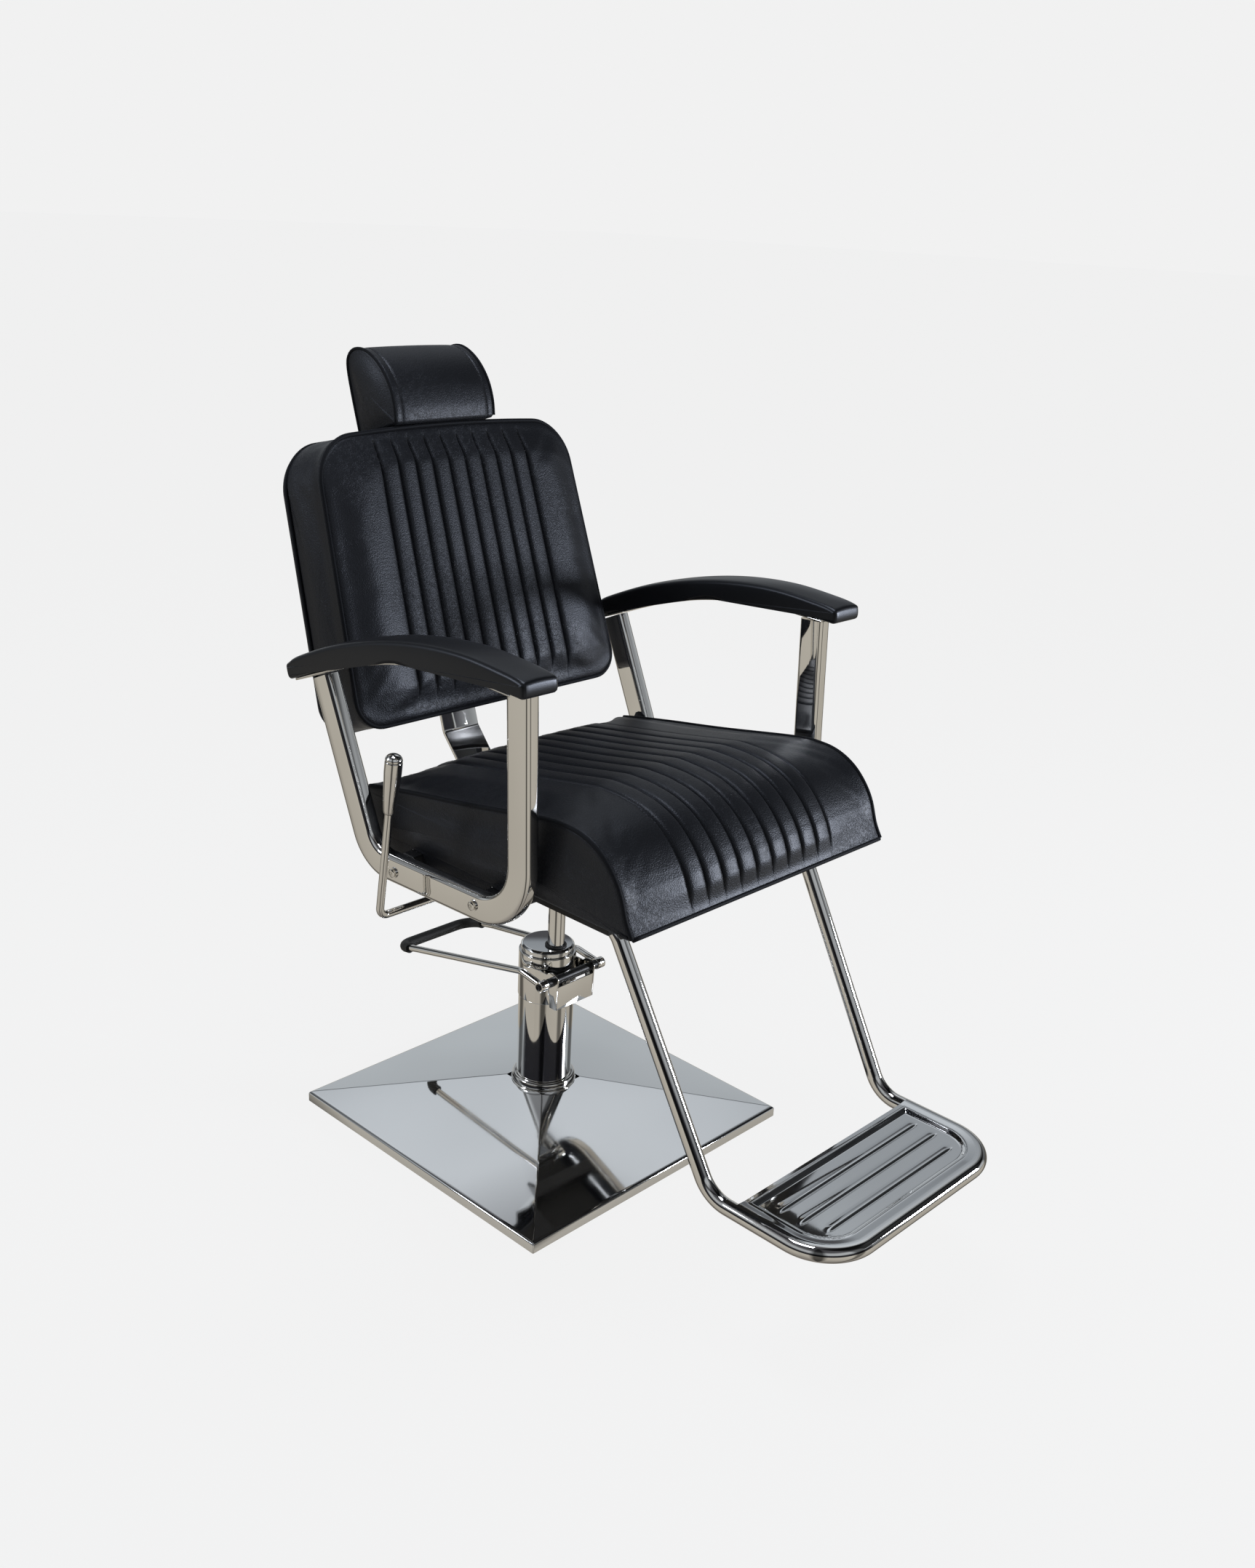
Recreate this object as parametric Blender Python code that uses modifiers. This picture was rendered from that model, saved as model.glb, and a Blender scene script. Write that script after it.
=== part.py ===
"""Hydraulic barber chair: square chrome base, foot-pumped column, swivelling seat with arm loops, reclining back,
sliding headrest and a fixed footrest. Metres, +Z up; the origin is on the floor at the column's axis, and the
sitter faces -Y, so +X is the sitter's left. Side outlines are lists of (y, z) points."""

from math import atan2, cos, pi, radians, sin, sqrt, tan

import bmesh
import bpy
from mathutils import Matrix, Vector

GAP = 0.0003  # between solids that touch

# Base
BASE_HALF = 0.265
RIM_HEIGHT = 0.015
RIM_INSET = 0.0044
SHEET = 0.002
PYRAMID_SLOPE = 0.197
BOSS_RADIUS = 0.052
BOSS_TOP = 0.0607
MAT_HALF = 0.250
MAT_THICK = 0.0022
WEIGHT_HALF = 0.245
WEIGHT_TOP = 0.0125

# Pump
COLUMN_RADIUS = 0.0432
COLUMN_BORE = 0.0400
SLEEVE_RADIUS = 0.0445
SLEEVE_BOTTOM = 0.2108
CAP_RADIUS = 0.0415
CAP_BOTTOM = 0.2875
CAP_TOP = 0.2986
RAM_Y = -0.018
RAM_RADIUS = 0.013
CYLINDER_BORE = 0.0172
CYLINDER_TOP = 0.2617
RAM_BOTTOM = 0.120
RAM_TOP = 0.470

# Pedal
PIVOT_Y = -0.053
PIVOT_Z = 0.262
PEDAL_ROD = 0.0055
PEDAL_TUBE = 0.0072
PEDAL_TUBE_HALF = 0.0520
PEDAL_GRIP = 0.0088
PEDAL_HALF = 0.060
PEDAL_REAR = 0.290
PEDAL_REAR_Z = 0.200
CAM_BOTTOM = 0.2505
BRACKET_HALF = 0.0395
BRACKET_FRONT = -0.0630
BRACKET_BOTTOM = 0.216
BRACKET_WALL = 0.002
VALVE_Y = -0.0512
VALVE_RADIUS = 0.0045
BOSS_OUT = 0.0670
PEDAL_SCREW = 0.0055

# Seat frame
HUB_RADIUS = 0.022
HUB_BOTTOM = 0.430
PLATE_BOTTOM = 0.480
BEAM_BOTTOM = 0.486
BEAM_TOP = 0.518
BEAM_WIDTH = 0.025
REAR_BEAM_Y = -0.002
FRONT_BEAM_Y = -0.1676
BOARD_TOP = 0.5303

# Arms
ARM_X = 0.288
ARM_WIDE = 0.024
ARM_DEEP = 0.041
ARM_PATH = [(-0.2372, 0.840), (-0.2503, 0.508), (0.0573, 0.4988), (0.1738, 0.7626)]
ARM_RADII = [0.0755, 0.058]
PAD_IN = 0.272
PAD_OUT = 0.331
STRIP_THICK = 0.003
PAD_UNDERSIDE = [(-0.272, 0.8206), (-0.237, 0.8225), (-0.170, 0.825), (-0.100, 0.820),
                 (-0.019, 0.806), (0.066, 0.781), (0.125, 0.7595), (0.186, 0.735)]
PAD_CROWN = [(0.1975, 0.752), (0.170, 0.772), (0.092, 0.804), (0.000, 0.831), (-0.087, 0.847),
             (-0.171, 0.853), (-0.248, 0.848), (-0.280, 0.841), (-0.287, 0.832)]

# Seat cushion
SEAT_HALF = 0.2615
SEAT_SIDE = [(-0.412, BOARD_TOP + GAP), (-0.4145, 0.536), (-0.4015, 0.556), (-0.390, 0.588), (-0.374, 0.612),
             (-0.353, 0.631), (-0.327, 0.6445), (-0.296, 0.6505), (-0.248, 0.647), (-0.106, 0.622),
             (0.016, 0.603), (0.106, 0.5865), (0.1195, 0.579), (0.125, 0.568), (0.125, BOARD_TOP + GAP)]

# Back
BACK_TILT = radians(18.1)
BACK_Y = 0.139
BACK_Z = 0.700
BACK_BOTTOM = -0.047
BACK_TOP = 0.376
BACK_HALF_LOW = 0.2585
BACK_HALF_TOP = 0.2370
BACK_THICK = 0.101
PANEL_THICK = 0.012
HINGE_Y = 0.118
HINGE_Z = 0.500
BARREL_RADIUS = 0.008
PIN_RADIUS = 0.0040
GUIDE_RADIUS = 0.0092
BAR_WIDE = 0.069
BAR_THICK = 0.006

# Headrest
HEAD_HALF = 0.095
HEAD_SECTION = [(-0.004, 0.379), (-0.008, 0.402), (-0.006, 0.430), (0.004, 0.457), (0.020, 0.479), (0.040, 0.494),
                (0.062, 0.499), (0.078, 0.492), (0.085, 0.476), (0.087, 0.379)]
POST_X = 0.055
POST_W = 0.045
POST_RADIUS = 0.005

# Footrest
FOOT_TOP_X = 0.195
FOOT_X = 0.187
FOOT_RADIUS = 0.011
FOOT_TOP_Z = 0.5035
FOOT_PLATE_Z = 0.184
FOOT_KNEE = -0.507
FOOT_FRONT = -0.7035
FOOT_CORNER = 0.070
FOOT_PLATE_REAR = -0.551
SOCKET_RADIUS = 0.0140
FOOT_SLOPE = radians(60.2)

# Recline lever and its lock
LEVER_X = -0.340
LEVER_Y = -0.022
LEVER_Z = 0.4516
LEVER_LEAN = radians(8.0)
LEVER_ROD = 0.0055
LOCK_X = -0.027
LOCK_DROP = 0.010
LOCK_RADIUS = 0.0040
QUADRANT_RADIUS = 0.065

for old in list(bpy.data.objects):
    bpy.data.objects.remove(old, do_unlink=True)

PARTS = bpy.data.collections.new("barber_chair")
CUTTERS = bpy.data.collections.new("cutters")
for group in (PARTS, CUTTERS):
    bpy.context.scene.collection.children.link(group)
CUTTERS.hide_render = True

YZ_PLANE = Matrix(((0, 0, 1, 0), (1, 0, 0, 0), (0, 1, 0, 0), (0, 0, 0, 1)))  # local x, y, z to world Y, Z, X


def material(name, colour, roughness, metallic=0.0):
    made = bpy.data.materials.new(name)
    made.use_nodes = True
    shader = made.node_tree.nodes["Principled BSDF"]
    shader.inputs["Base Color"].default_value = (*colour, 1.0)
    shader.inputs["Roughness"].default_value = roughness
    shader.inputs["Metallic"].default_value = metallic
    return made


CHROME = material("chrome", (0.78, 0.78, 0.76), 0.08, 1.0)
STEEL = material("steel", (0.42, 0.43, 0.44), 0.35, 1.0)
DARK_STEEL = material("dark_steel", (0.05, 0.05, 0.05), 0.45, 1.0)
IRON = material("iron", (0.09, 0.09, 0.09), 0.7, 0.6)
VINYL = material("vinyl", (0.022, 0.022, 0.026), 0.42)
PAD_BLACK = material("pad_black", (0.02, 0.02, 0.022), 0.35)
RUBBER = material("rubber", (0.018, 0.018, 0.018), 0.65)
BOARD = material("board", (0.35, 0.24, 0.13), 0.8)


def place(obj, finish):
    """Puts a finished object in the parts, with its material."""
    PARTS.objects.link(obj)
    obj.data.materials.clear()
    obj.data.materials.append(finish)
    if obj.type == "MESH":
        obj.data.shade_smooth()
        obj.data.set_sharp_from_angle(angle=radians(35))
    return obj


def cutter(obj):
    for group in list(obj.users_collection):
        group.objects.unlink(obj)
    CUTTERS.objects.link(obj)
    obj.hide_render = True
    obj.display_type = "WIRE"
    return obj


def combine(obj, other, operation):
    """A Boolean that takes the other object's shape out of this one, or adds it."""
    boolean = obj.modifiers.new(operation.lower(), "BOOLEAN")
    boolean.operation = operation
    boolean.solver = "EXACT"
    boolean.object = cutter(other)
    return obj


def cut(obj, other):
    return combine(obj, other, "DIFFERENCE")


def join(obj, other):
    return combine(obj, other, "UNION")


def rounded(obj, width, segments=2):
    bevel = obj.modifiers.new("edges", "BEVEL")
    bevel.width = width
    bevel.segments = segments
    bevel.limit_method = "ANGLE"
    bevel.angle_limit = radians(40)
    return obj


def box(name, low, high, finish):
    shape = bmesh.new()
    bmesh.ops.create_cube(shape, size=1.0)
    middle = [(a + b) / 2 for a, b in zip(low, high)]
    size = [b - a for a, b in zip(low, high)]
    bmesh.ops.scale(shape, vec=size, verts=shape.verts)
    data = bpy.data.meshes.new(name)
    shape.to_mesh(data)
    shape.free()
    made = place(bpy.data.objects.new(name, data), finish)
    made.location = middle
    return made


def rod(name, start, end, radius, finish, sides=24):
    """A solid cylinder between two points."""
    start, end = Vector(start), Vector(end)
    shape = bmesh.new()
    bmesh.ops.create_cone(shape, cap_ends=True, segments=sides, radius1=radius, radius2=radius,
                          depth=(end - start).length)
    data = bpy.data.meshes.new(name)
    shape.to_mesh(data)
    shape.free()
    made = place(bpy.data.objects.new(name, data), finish)
    made.rotation_mode = "QUATERNION"
    made.rotation_quaternion = (end - start).to_track_quat("Z", "Y")
    made.location = (start + end) / 2
    return made


def turned(name, profile, finish, at=(0, 0, 0), tilt=0.0, steps=40, closed=False):
    """A profile of (radius, height) points, top to bottom on its outer side, turned about Z."""
    data = bpy.data.meshes.new(name)
    edges = [(i, i + 1) for i in range(len(profile) - 1)]
    if closed:
        edges.append((len(profile) - 1, 0))
    data.from_pydata([(r, 0, z) for r, z in profile], edges, [])
    made = bpy.data.objects.new(name, data)
    screw = made.modifiers.new("turn", "SCREW")
    screw.steps = screw.render_steps = steps
    screw.use_merge_vertices = True
    screw.merge_threshold = 0.00005
    made.location = at
    made.rotation_euler = (tilt, 0, 0)
    return place(made, finish)


def ring(name, outer, inner, bottom, top, finish, at=(0, 0, 0), steps=40, soften=0.0):
    s = soften
    profile = [(inner, top), (outer - s, top), (outer, top - s), (outer, bottom + s), (outer - s, bottom),
               (inner, bottom)]
    if not s:
        profile = [(inner, top), (outer, top), (outer, bottom), (inner, bottom)]
    return turned(name, profile, finish, at, steps=steps, closed=True)


def arc_path(corners, radii, turn=radians(12)):
    """A path through corners, each rounded to its radius; the first and the last corner stay."""
    corners = [Vector(c) for c in corners]
    path = [corners[0]]
    for i, radius in enumerate(radii, start=1):
        before = (corners[i - 1] - corners[i]).normalized()
        after = (corners[i + 1] - corners[i]).normalized()
        half = before.angle(after) / 2
        centre = corners[i] + (before + after).normalized() * (radius / sin(half))
        start = corners[i] + before * (radius / (sin(half) / cos(half))) - centre
        end = corners[i] + after * (radius / (sin(half) / cos(half))) - centre
        sweep = start.angle(end)
        steps = max(2, round(sweep / turn))
        for k in range(steps + 1):
            t = sweep * k / steps
            path.append(centre + (start * sin(sweep - t) + end * sin(t)) / sin(sweep))
    path.append(corners[-1])
    return path


def to_mesh(curve, name):
    """The curve object's shape as a welded mesh object in the same place."""
    bpy.context.scene.collection.objects.link(curve)
    bpy.context.view_layer.update()
    seen = curve.evaluated_get(bpy.context.evaluated_depsgraph_get())
    data = bpy.data.meshes.new_from_object(seen)
    data.name = name
    shape = bmesh.new()
    shape.from_mesh(data)
    bmesh.ops.remove_doubles(shape, verts=shape.verts, dist=0.00001)
    bmesh.ops.holes_fill(shape, edges=[e for e in shape.edges if e.is_boundary], sides=0)
    bmesh.ops.recalc_face_normals(shape, faces=shape.faces)
    shape.to_mesh(data)
    shape.free()
    made = bpy.data.objects.new(name, data)
    made.matrix_world = curve.matrix_world
    bpy.data.objects.remove(curve, do_unlink=True)
    made.name = name
    return made


def poly_curve(name, points, flat, cyclic=False):
    data = bpy.data.curves.new(name, "CURVE")
    data.dimensions = "2D" if flat else "3D"
    spline = data.splines.new("POLY")
    spline.points.add(len(points) - 1)
    for point, place_at in zip(spline.points, points):
        point.co = (*place_at, 0, 1) if len(place_at) == 2 else (*place_at, 1)
    spline.use_cyclic_u = cyclic
    return bpy.data.objects.new(name + "_curve", data)


def tube(name, points, radius, finish, sides=3):
    """A solid round bar along a path of 3D points."""
    curve = poly_curve(name, points, flat=False)
    curve.data.bevel_depth = radius
    curve.data.bevel_resolution = sides
    curve.data.use_fill_caps = True
    return place(to_mesh(curve, name), finish)


def plate(name, outline, low, high, finish, frame=YZ_PLANE):
    """A flat outline made thick, from low to high along its normal: by default a (y, z) outline thick along X."""
    curve = poly_curve(name, outline, flat=True, cyclic=True)
    curve.data.fill_mode = "BOTH"
    curve.data.extrude = (high - low) / 2
    curve.matrix_world = frame @ Matrix.Translation((0, 0, (high + low) / 2))
    return place(to_mesh(curve, name), finish)


def bar(name, path, wide, deep, corner, x, finish):
    """A bar of rounded rectangular section along a (y, z) path: deep in the path's plane and wide along X."""
    section = []
    for sx, sy in ((1, 1), (-1, 1), (-1, -1), (1, -1)):
        start = atan2(sy, sx) - pi / 4
        for k in range(4):
            turn = start + k * pi / 6
            section.append((sx * (deep / 2 - corner) + corner * cos(turn),
                            sy * (wide / 2 - corner) + corner * sin(turn)))
    outline = poly_curve(name + "_section", section, flat=True, cyclic=True)
    bpy.context.scene.collection.objects.link(outline)
    curve = poly_curve(name, path, flat=False)
    curve.data.twist_mode = "Z_UP"
    curve.data.bevel_mode = "OBJECT"
    curve.data.bevel_object = outline
    curve.data.use_fill_caps = True
    curve.matrix_world = YZ_PLANE @ Matrix.Translation((0, 0, x))
    made = to_mesh(curve, name)
    bpy.data.objects.remove(outline, do_unlink=True)
    return place(made, finish)


def back_point(x, w, u):
    """A point of the back: x across, w rearwards from its front face, u up along it."""
    return Vector((x, BACK_Y + u * sin(BACK_TILT) + w * cos(BACK_TILT),
                   BACK_Z + u * cos(BACK_TILT) - w * sin(BACK_TILT)))


BACK_FRAME = Matrix.Translation((0, BACK_Y, BACK_Z)) @ Matrix.Rotation(pi / 2 - BACK_TILT, 4, "X")


def build_base():
    box("base_mat", (-MAT_HALF, -MAT_HALF, 0), (MAT_HALF, MAT_HALF, MAT_THICK), RUBBER)
    box("base_weight", (-WEIGHT_HALF, -WEIGHT_HALF, MAT_THICK + GAP), (WEIGHT_HALF, WEIGHT_HALF, WEIGHT_TOP), IRON)
    shape = bmesh.new()
    bmesh.ops.create_grid(shape, x_segments=1, y_segments=1, size=0.040)
    top = RIM_HEIGHT + RIM_INSET / 2 + (BASE_HALF - RIM_INSET - 0.040) * PYRAMID_SLOPE
    bmesh.ops.translate(shape, vec=(0, 0, top), verts=shape.verts)
    rings = ((BASE_HALF - RIM_INSET, RIM_HEIGHT + RIM_INSET / 2), (BASE_HALF, RIM_HEIGHT), (BASE_HALF, 0.0005))
    half = 0.040
    for wider, height in rings:
        edge = [e for e in shape.edges if e.is_boundary]
        grown = bmesh.ops.extrude_edge_only(shape, edges=edge)["geom"]
        verts = [v for v in grown if isinstance(v, bmesh.types.BMVert)]
        bmesh.ops.scale(shape, vec=(wider / half, wider / half, 1), verts=verts)
        for vert in verts:
            vert.co.z = height
        half = wider
    data = bpy.data.meshes.new("base_cover")
    shape.to_mesh(data)
    shape.free()
    cover = place(bpy.data.objects.new("base_cover", data), CHROME)
    thick = cover.modifiers.new("sheet", "SOLIDIFY")
    thick.thickness = SHEET
    thick.offset = -1
    thick.use_even_offset = True
    join(cover, rod("boss", (0, 0, top - 0.006), (0, 0, BOSS_TOP), BOSS_RADIUS, CHROME, 48))
    cut(cover, rod("cover_hole", (0, 0, 0.01), (0, 0, 0.1), COLUMN_RADIUS + 0.0006, CHROME, 48))
    ring("column_collar", 0.0495, COLUMN_RADIUS + GAP, BOSS_TOP + GAP, 0.0727, CHROME, steps=48, soften=0.003)


def build_pump():
    ring("pump_column", COLUMN_RADIUS, COLUMN_BORE, WEIGHT_TOP + GAP, SLEEVE_BOTTOM - GAP, CHROME, steps=48)
    ring("pump_sleeve", SLEEVE_RADIUS, COLUMN_BORE, SLEEVE_BOTTOM, CAP_BOTTOM - GAP, CHROME, steps=48, soften=0.0008)
    cap = turned("pump_cap", [(0, CAP_TOP), (CAP_RADIUS - 0.004, CAP_TOP), (CAP_RADIUS - 0.001, CAP_TOP - 0.0015),
                              (CAP_RADIUS, CAP_TOP - 0.004), (CAP_RADIUS, CAP_BOTTOM), (0, CAP_BOTTOM)],
                 CHROME, steps=48)
    cut(cap, rod("ram_hole", (0, RAM_Y, 0.2), (0, RAM_Y, 0.4), RAM_RADIUS + GAP, CHROME, 32))
    centre = (0, RAM_Y, 0)
    ring("ram_bushing", 0.018, RAM_RADIUS + GAP, CYLINDER_TOP + GAP, CAP_BOTTOM - GAP, STEEL, centre, 32)
    ring("ram_seal", 0.0168, RAM_RADIUS + GAP, CAP_TOP + GAP, CAP_TOP + 0.0028, RUBBER, centre, 32, soften=0.0008)
    ring("pump_cylinder", 0.0205, CYLINDER_BORE, WEIGHT_TOP + GAP, CYLINDER_TOP, STEEL, centre, 32)
    piston_top = RAM_BOTTOM + 0.015
    turned("ram", [(0, RAM_TOP), (RAM_RADIUS, RAM_TOP), (RAM_RADIUS, RAM_BOTTOM), (0, RAM_BOTTOM)],
           CHROME, centre, steps=32)
    ring("ram_piston", CYLINDER_BORE - GAP, RAM_RADIUS + GAP, RAM_BOTTOM, piston_top, DARK_STEEL, centre, 32)


def build_bracket():
    """The channel on the column's front that carries the pedal's pivot and the valve plunger."""
    side = [(BRACKET_FRONT, BRACKET_BOTTOM), (-0.049, BRACKET_BOTTOM), (-0.049, 0.250), (-0.020, 0.250),
            (-0.020, 0.272), (PIVOT_Y + 0.010, 0.2745), (PIVOT_Y, 0.2765), (PIVOT_Y - 0.008, 0.2745),
            (PIVOT_Y - 0.0125, 0.268), (BRACKET_FRONT - 0.0015, 0.258)]
    back = BRACKET_FRONT + BRACKET_WALL
    front = box("pump_bracket", (-BRACKET_HALF, BRACKET_FRONT, BRACKET_BOTTOM), (BRACKET_HALF, back, 0.264), CHROME)
    for sign in (-1, 1):
        ends = sorted((sign * (BRACKET_HALF + 0.0002), sign * (BRACKET_HALF - BRACKET_WALL)))
        join(front, plate("ear", side, *ends, CHROME))
    cut(front, rod("sleeve_room", (0, 0, 0.1), (0, 0, 0.4), SLEEVE_RADIUS + GAP, CHROME, 48))
    cut(front, rod("pivot_hole", (-0.1, PIVOT_Y, PIVOT_Z), (0.1, PIVOT_Y, PIVOT_Z), PEDAL_TUBE + GAP, CHROME, 24))
    block = box("valve_block", (-0.012, back + GAP, BRACKET_BOTTOM + 0.001), (0.012, -SLEEVE_RADIUS - GAP, 0.232),
                STEEL)
    hole_bottom = (0, VALVE_Y, 0.2215)
    cut(block, rod("valve_hole", hole_bottom, (0, VALVE_Y, 0.25), VALVE_RADIUS + GAP, STEEL, 20))
    rod("valve_plunger", (0, VALVE_Y, 0.2255), (0, VALVE_Y, CAM_BOTTOM - GAP), VALVE_RADIUS, STEEL, 20)


def build_pedal():
    """Two rods that straddle the column and meet in a rubber-covered bar behind it."""
    near = (-PEDAL_HALF, PIVOT_Y, PIVOT_Z)
    far = (PEDAL_HALF, PIVOT_Y, PIVOT_Z)
    corners = [near, (-PEDAL_HALF, -0.006, 0.2695), (-PEDAL_HALF, 0.240, 0.2125),
               (-PEDAL_HALF, PEDAL_REAR, PEDAL_REAR_Z), (0.092, PEDAL_REAR, PEDAL_REAR_Z), (0.090, 0.225, 0.2145),
               (PEDAL_HALF + 0.003, -0.004, 0.266), far]
    path = arc_path(corners, [0.020, 0.05, 0.022, 0.030, 0.06, 0.020], radians(18))
    frame = tube("pedal_bar", path, PEDAL_ROD, CHROME)
    for sign in (-1, 1):
        ends = (sign * (PEDAL_TUBE_HALF + GAP), PIVOT_Y, PIVOT_Z), (sign * BOSS_OUT, PIVOT_Y, PIVOT_Z)
        join(frame, rod("boss", *ends, 0.0086, CHROME))
        ends = (sign * (BOSS_OUT + GAP), PIVOT_Y, PIVOT_Z), (sign * (BOSS_OUT + 0.003), PIVOT_Y, PIVOT_Z)
        screw = rod(f"pedal_screw_{'right' if sign < 0 else 'left'}", *ends, PEDAL_SCREW, DARK_STEEL, 20)
        ends = (sign * (BOSS_OUT + 0.0015), PIVOT_Y, PIVOT_Z), (sign * 0.075, PIVOT_Y, PIVOT_Z)
        cut(screw, rod("socket", *ends, PEDAL_SCREW / 2, DARK_STEEL, 6))
    rod("pedal_tube", (-PEDAL_TUBE_HALF, PIVOT_Y, PIVOT_Z), (PEDAL_TUBE_HALF, PIVOT_Y, PIVOT_Z), PEDAL_TUBE, DARK_STEEL)
    cam = box("pedal_cam", (-0.006, PIVOT_Y - 0.005, CAM_BOTTOM), (0.006, PIVOT_Y + 0.005, PIVOT_Z - 0.002), STEEL)
    cut(cam, rod("cam_hole", (-0.02, PIVOT_Y, PIVOT_Z), (0.02, PIVOT_Y, PIVOT_Z), PEDAL_TUBE + GAP, STEEL))
    start = next(i for i, p in enumerate(path) if p.y > 0.245)
    end = next(i for i, p in enumerate(path) if i > start + 8 and p.y < 0.235)
    covered = [path[start - 1].lerp(path[start], 0.8)] + path[start:end] + [path[end - 1].lerp(path[end], 0.12)]
    grip = tube("pedal_sleeve", covered, PEDAL_GRIP, RUBBER)
    cut(grip, tube("grip_bore", path, PEDAL_ROD + GAP, RUBBER))


def build_seat_frame():
    centre = (0, RAM_Y, 0)
    hub = turned("swivel_hub", [(0, PLATE_BOTTOM - GAP), (0.034, PLATE_BOTTOM - GAP), (0.034, PLATE_BOTTOM - 0.006),
                                (HUB_RADIUS, PLATE_BOTTOM - 0.014), (HUB_RADIUS, HUB_BOTTOM), (0, HUB_BOTTOM)],
                 STEEL, centre, steps=32)
    cut(hub, rod("hub_bore", (0, RAM_Y, 0.4), (0, RAM_Y, RAM_TOP + GAP), RAM_RADIUS + GAP, STEEL, 32))
    rounded(box("mount_plate", (-0.095, -0.182, PLATE_BOTTOM), (0.095, 0.040, BEAM_BOTTOM - GAP), DARK_STEEL), 0.001, 1)
    for name, y in (("rear_beam", REAR_BEAM_Y), ("front_beam", FRONT_BEAM_Y)):
        reach = ARM_X - ARM_WIDE / 2 - GAP
        rounded(box(name, (-reach, y - BEAM_WIDTH / 2, BEAM_BOTTOM), (reach, y + BEAM_WIDTH / 2, BEAM_TOP),
                    DARK_STEEL), 0.002, 1)
    box("seat_board", (-0.245, -0.360, BEAM_TOP + GAP), (0.245, 0.112, BOARD_TOP), BOARD)
    rounded(plate("seat_cushion", SEAT_SIDE, -SEAT_HALF, SEAT_HALF, VINYL), 0.010)


def strip_line(drop):
    """The pad's underside lowered by drop, from the front post to the rear leg."""
    front, rear = (-0.258, 0.8215), (0.1800, 0.7374)
    return [(y, z - drop) for y, z in [front] + PAD_UNDERSIDE[1:-1] + [rear]]


def build_arm(sign):
    side = "left" if sign > 0 else "right"
    path = [tuple(p) for p in arc_path(ARM_PATH, ARM_RADII, radians(11))]
    frame = bar(f"arm_frame_{side}", path, ARM_WIDE, ARM_DEEP, 0.008, sign * ARM_X, CHROME)
    below = strip_line(STRIP_THICK + 2 * GAP)
    below = [(-0.330, below[0][1])] + below + [(0.230, below[-1][1] - 0.045)]
    trim = below + [(0.260, 0.95), (-0.330, 0.95)]
    inner, outer = sorted((sign * 0.25, sign * 0.35))
    cut(frame, plate("trim", trim, inner, outer, CHROME))
    upper, lower = strip_line(GAP), strip_line(GAP + STRIP_THICK)
    inner, outer = sorted((sign * 0.279, sign * 0.324))
    plate(f"arm_strip_{side}", upper + lower[::-1], inner, outer, CHROME)
    inner, outer = sorted((sign * PAD_IN, sign * PAD_OUT))
    rounded(plate(f"arm_pad_{side}", PAD_UNDERSIDE + PAD_CROWN, inner, outer, PAD_BLACK), 0.007)
    face = ARM_X + ARM_WIDE / 2
    for place_name, y, z in (("rear", REAR_BEAM_Y, 0.4985), ("front", FRONT_BEAM_Y, 0.5082)):
        ends = (sign * (face + GAP), y, z), (sign * (face + 0.0042), y, z)
        screw = rod(f"arm_screw_{place_name}_{side}", *ends, 0.0078, CHROME, 20)
        rounded(screw, 0.0015, 1)


def build_footrest():
    """One tube bent into a loop from the front beam down to the foot plate, which it frames on three sides."""
    run = (FOOT_TOP_Z - FOOT_PLATE_Z) / tan(FOOT_SLOPE)
    back = FRONT_BEAM_Y - BEAM_WIDTH / 2 - GAP
    half = [(FOOT_TOP_X, back, FOOT_TOP_Z), (FOOT_TOP_X, FOOT_KNEE + run, FOOT_TOP_Z),
            (FOOT_X, FOOT_KNEE, FOOT_PLATE_Z), (FOOT_X, FOOT_FRONT, FOOT_PLATE_Z)]
    corners = half + [(-x, y, z) for x, y, z in reversed(half)]
    radii = [0.035, 0.050, FOOT_CORNER, FOOT_CORNER, 0.050, 0.035]
    tube("footrest_frame", arc_path(corners, radii, radians(15)), FOOT_RADIUS, CHROME, sides=4)
    inset = FOOT_RADIUS + GAP
    inner, front, bend = FOOT_X - inset, FOOT_FRONT + inset, FOOT_CORNER - inset
    corners = [(-inner, FOOT_PLATE_REAR), (-inner, front), (inner, front), (inner, FOOT_PLATE_REAR)]
    outline = [(x, y) for x, y in arc_path(corners, [bend, bend], radians(12))]
    plate("footrest_plate", outline, FOOT_PLATE_Z + 0.0010, FOOT_PLATE_Z + 0.0040, CHROME, Matrix.Identity(4))
    for sign in (-1, 1):
        side, x = ("left" if sign > 0 else "right"), sign * FOOT_TOP_X
        socket = rod(f"footrest_socket_{side}", (x, -0.245, FOOT_TOP_Z), (x, back, FOOT_TOP_Z), SOCKET_RADIUS, DARK_STEEL)
        bore = (x, -0.3, FOOT_TOP_Z), (x, -0.1, FOOT_TOP_Z)
        cut(socket, rod("socket_bore", *bore, FOOT_RADIUS + GAP, DARK_STEEL))


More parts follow.
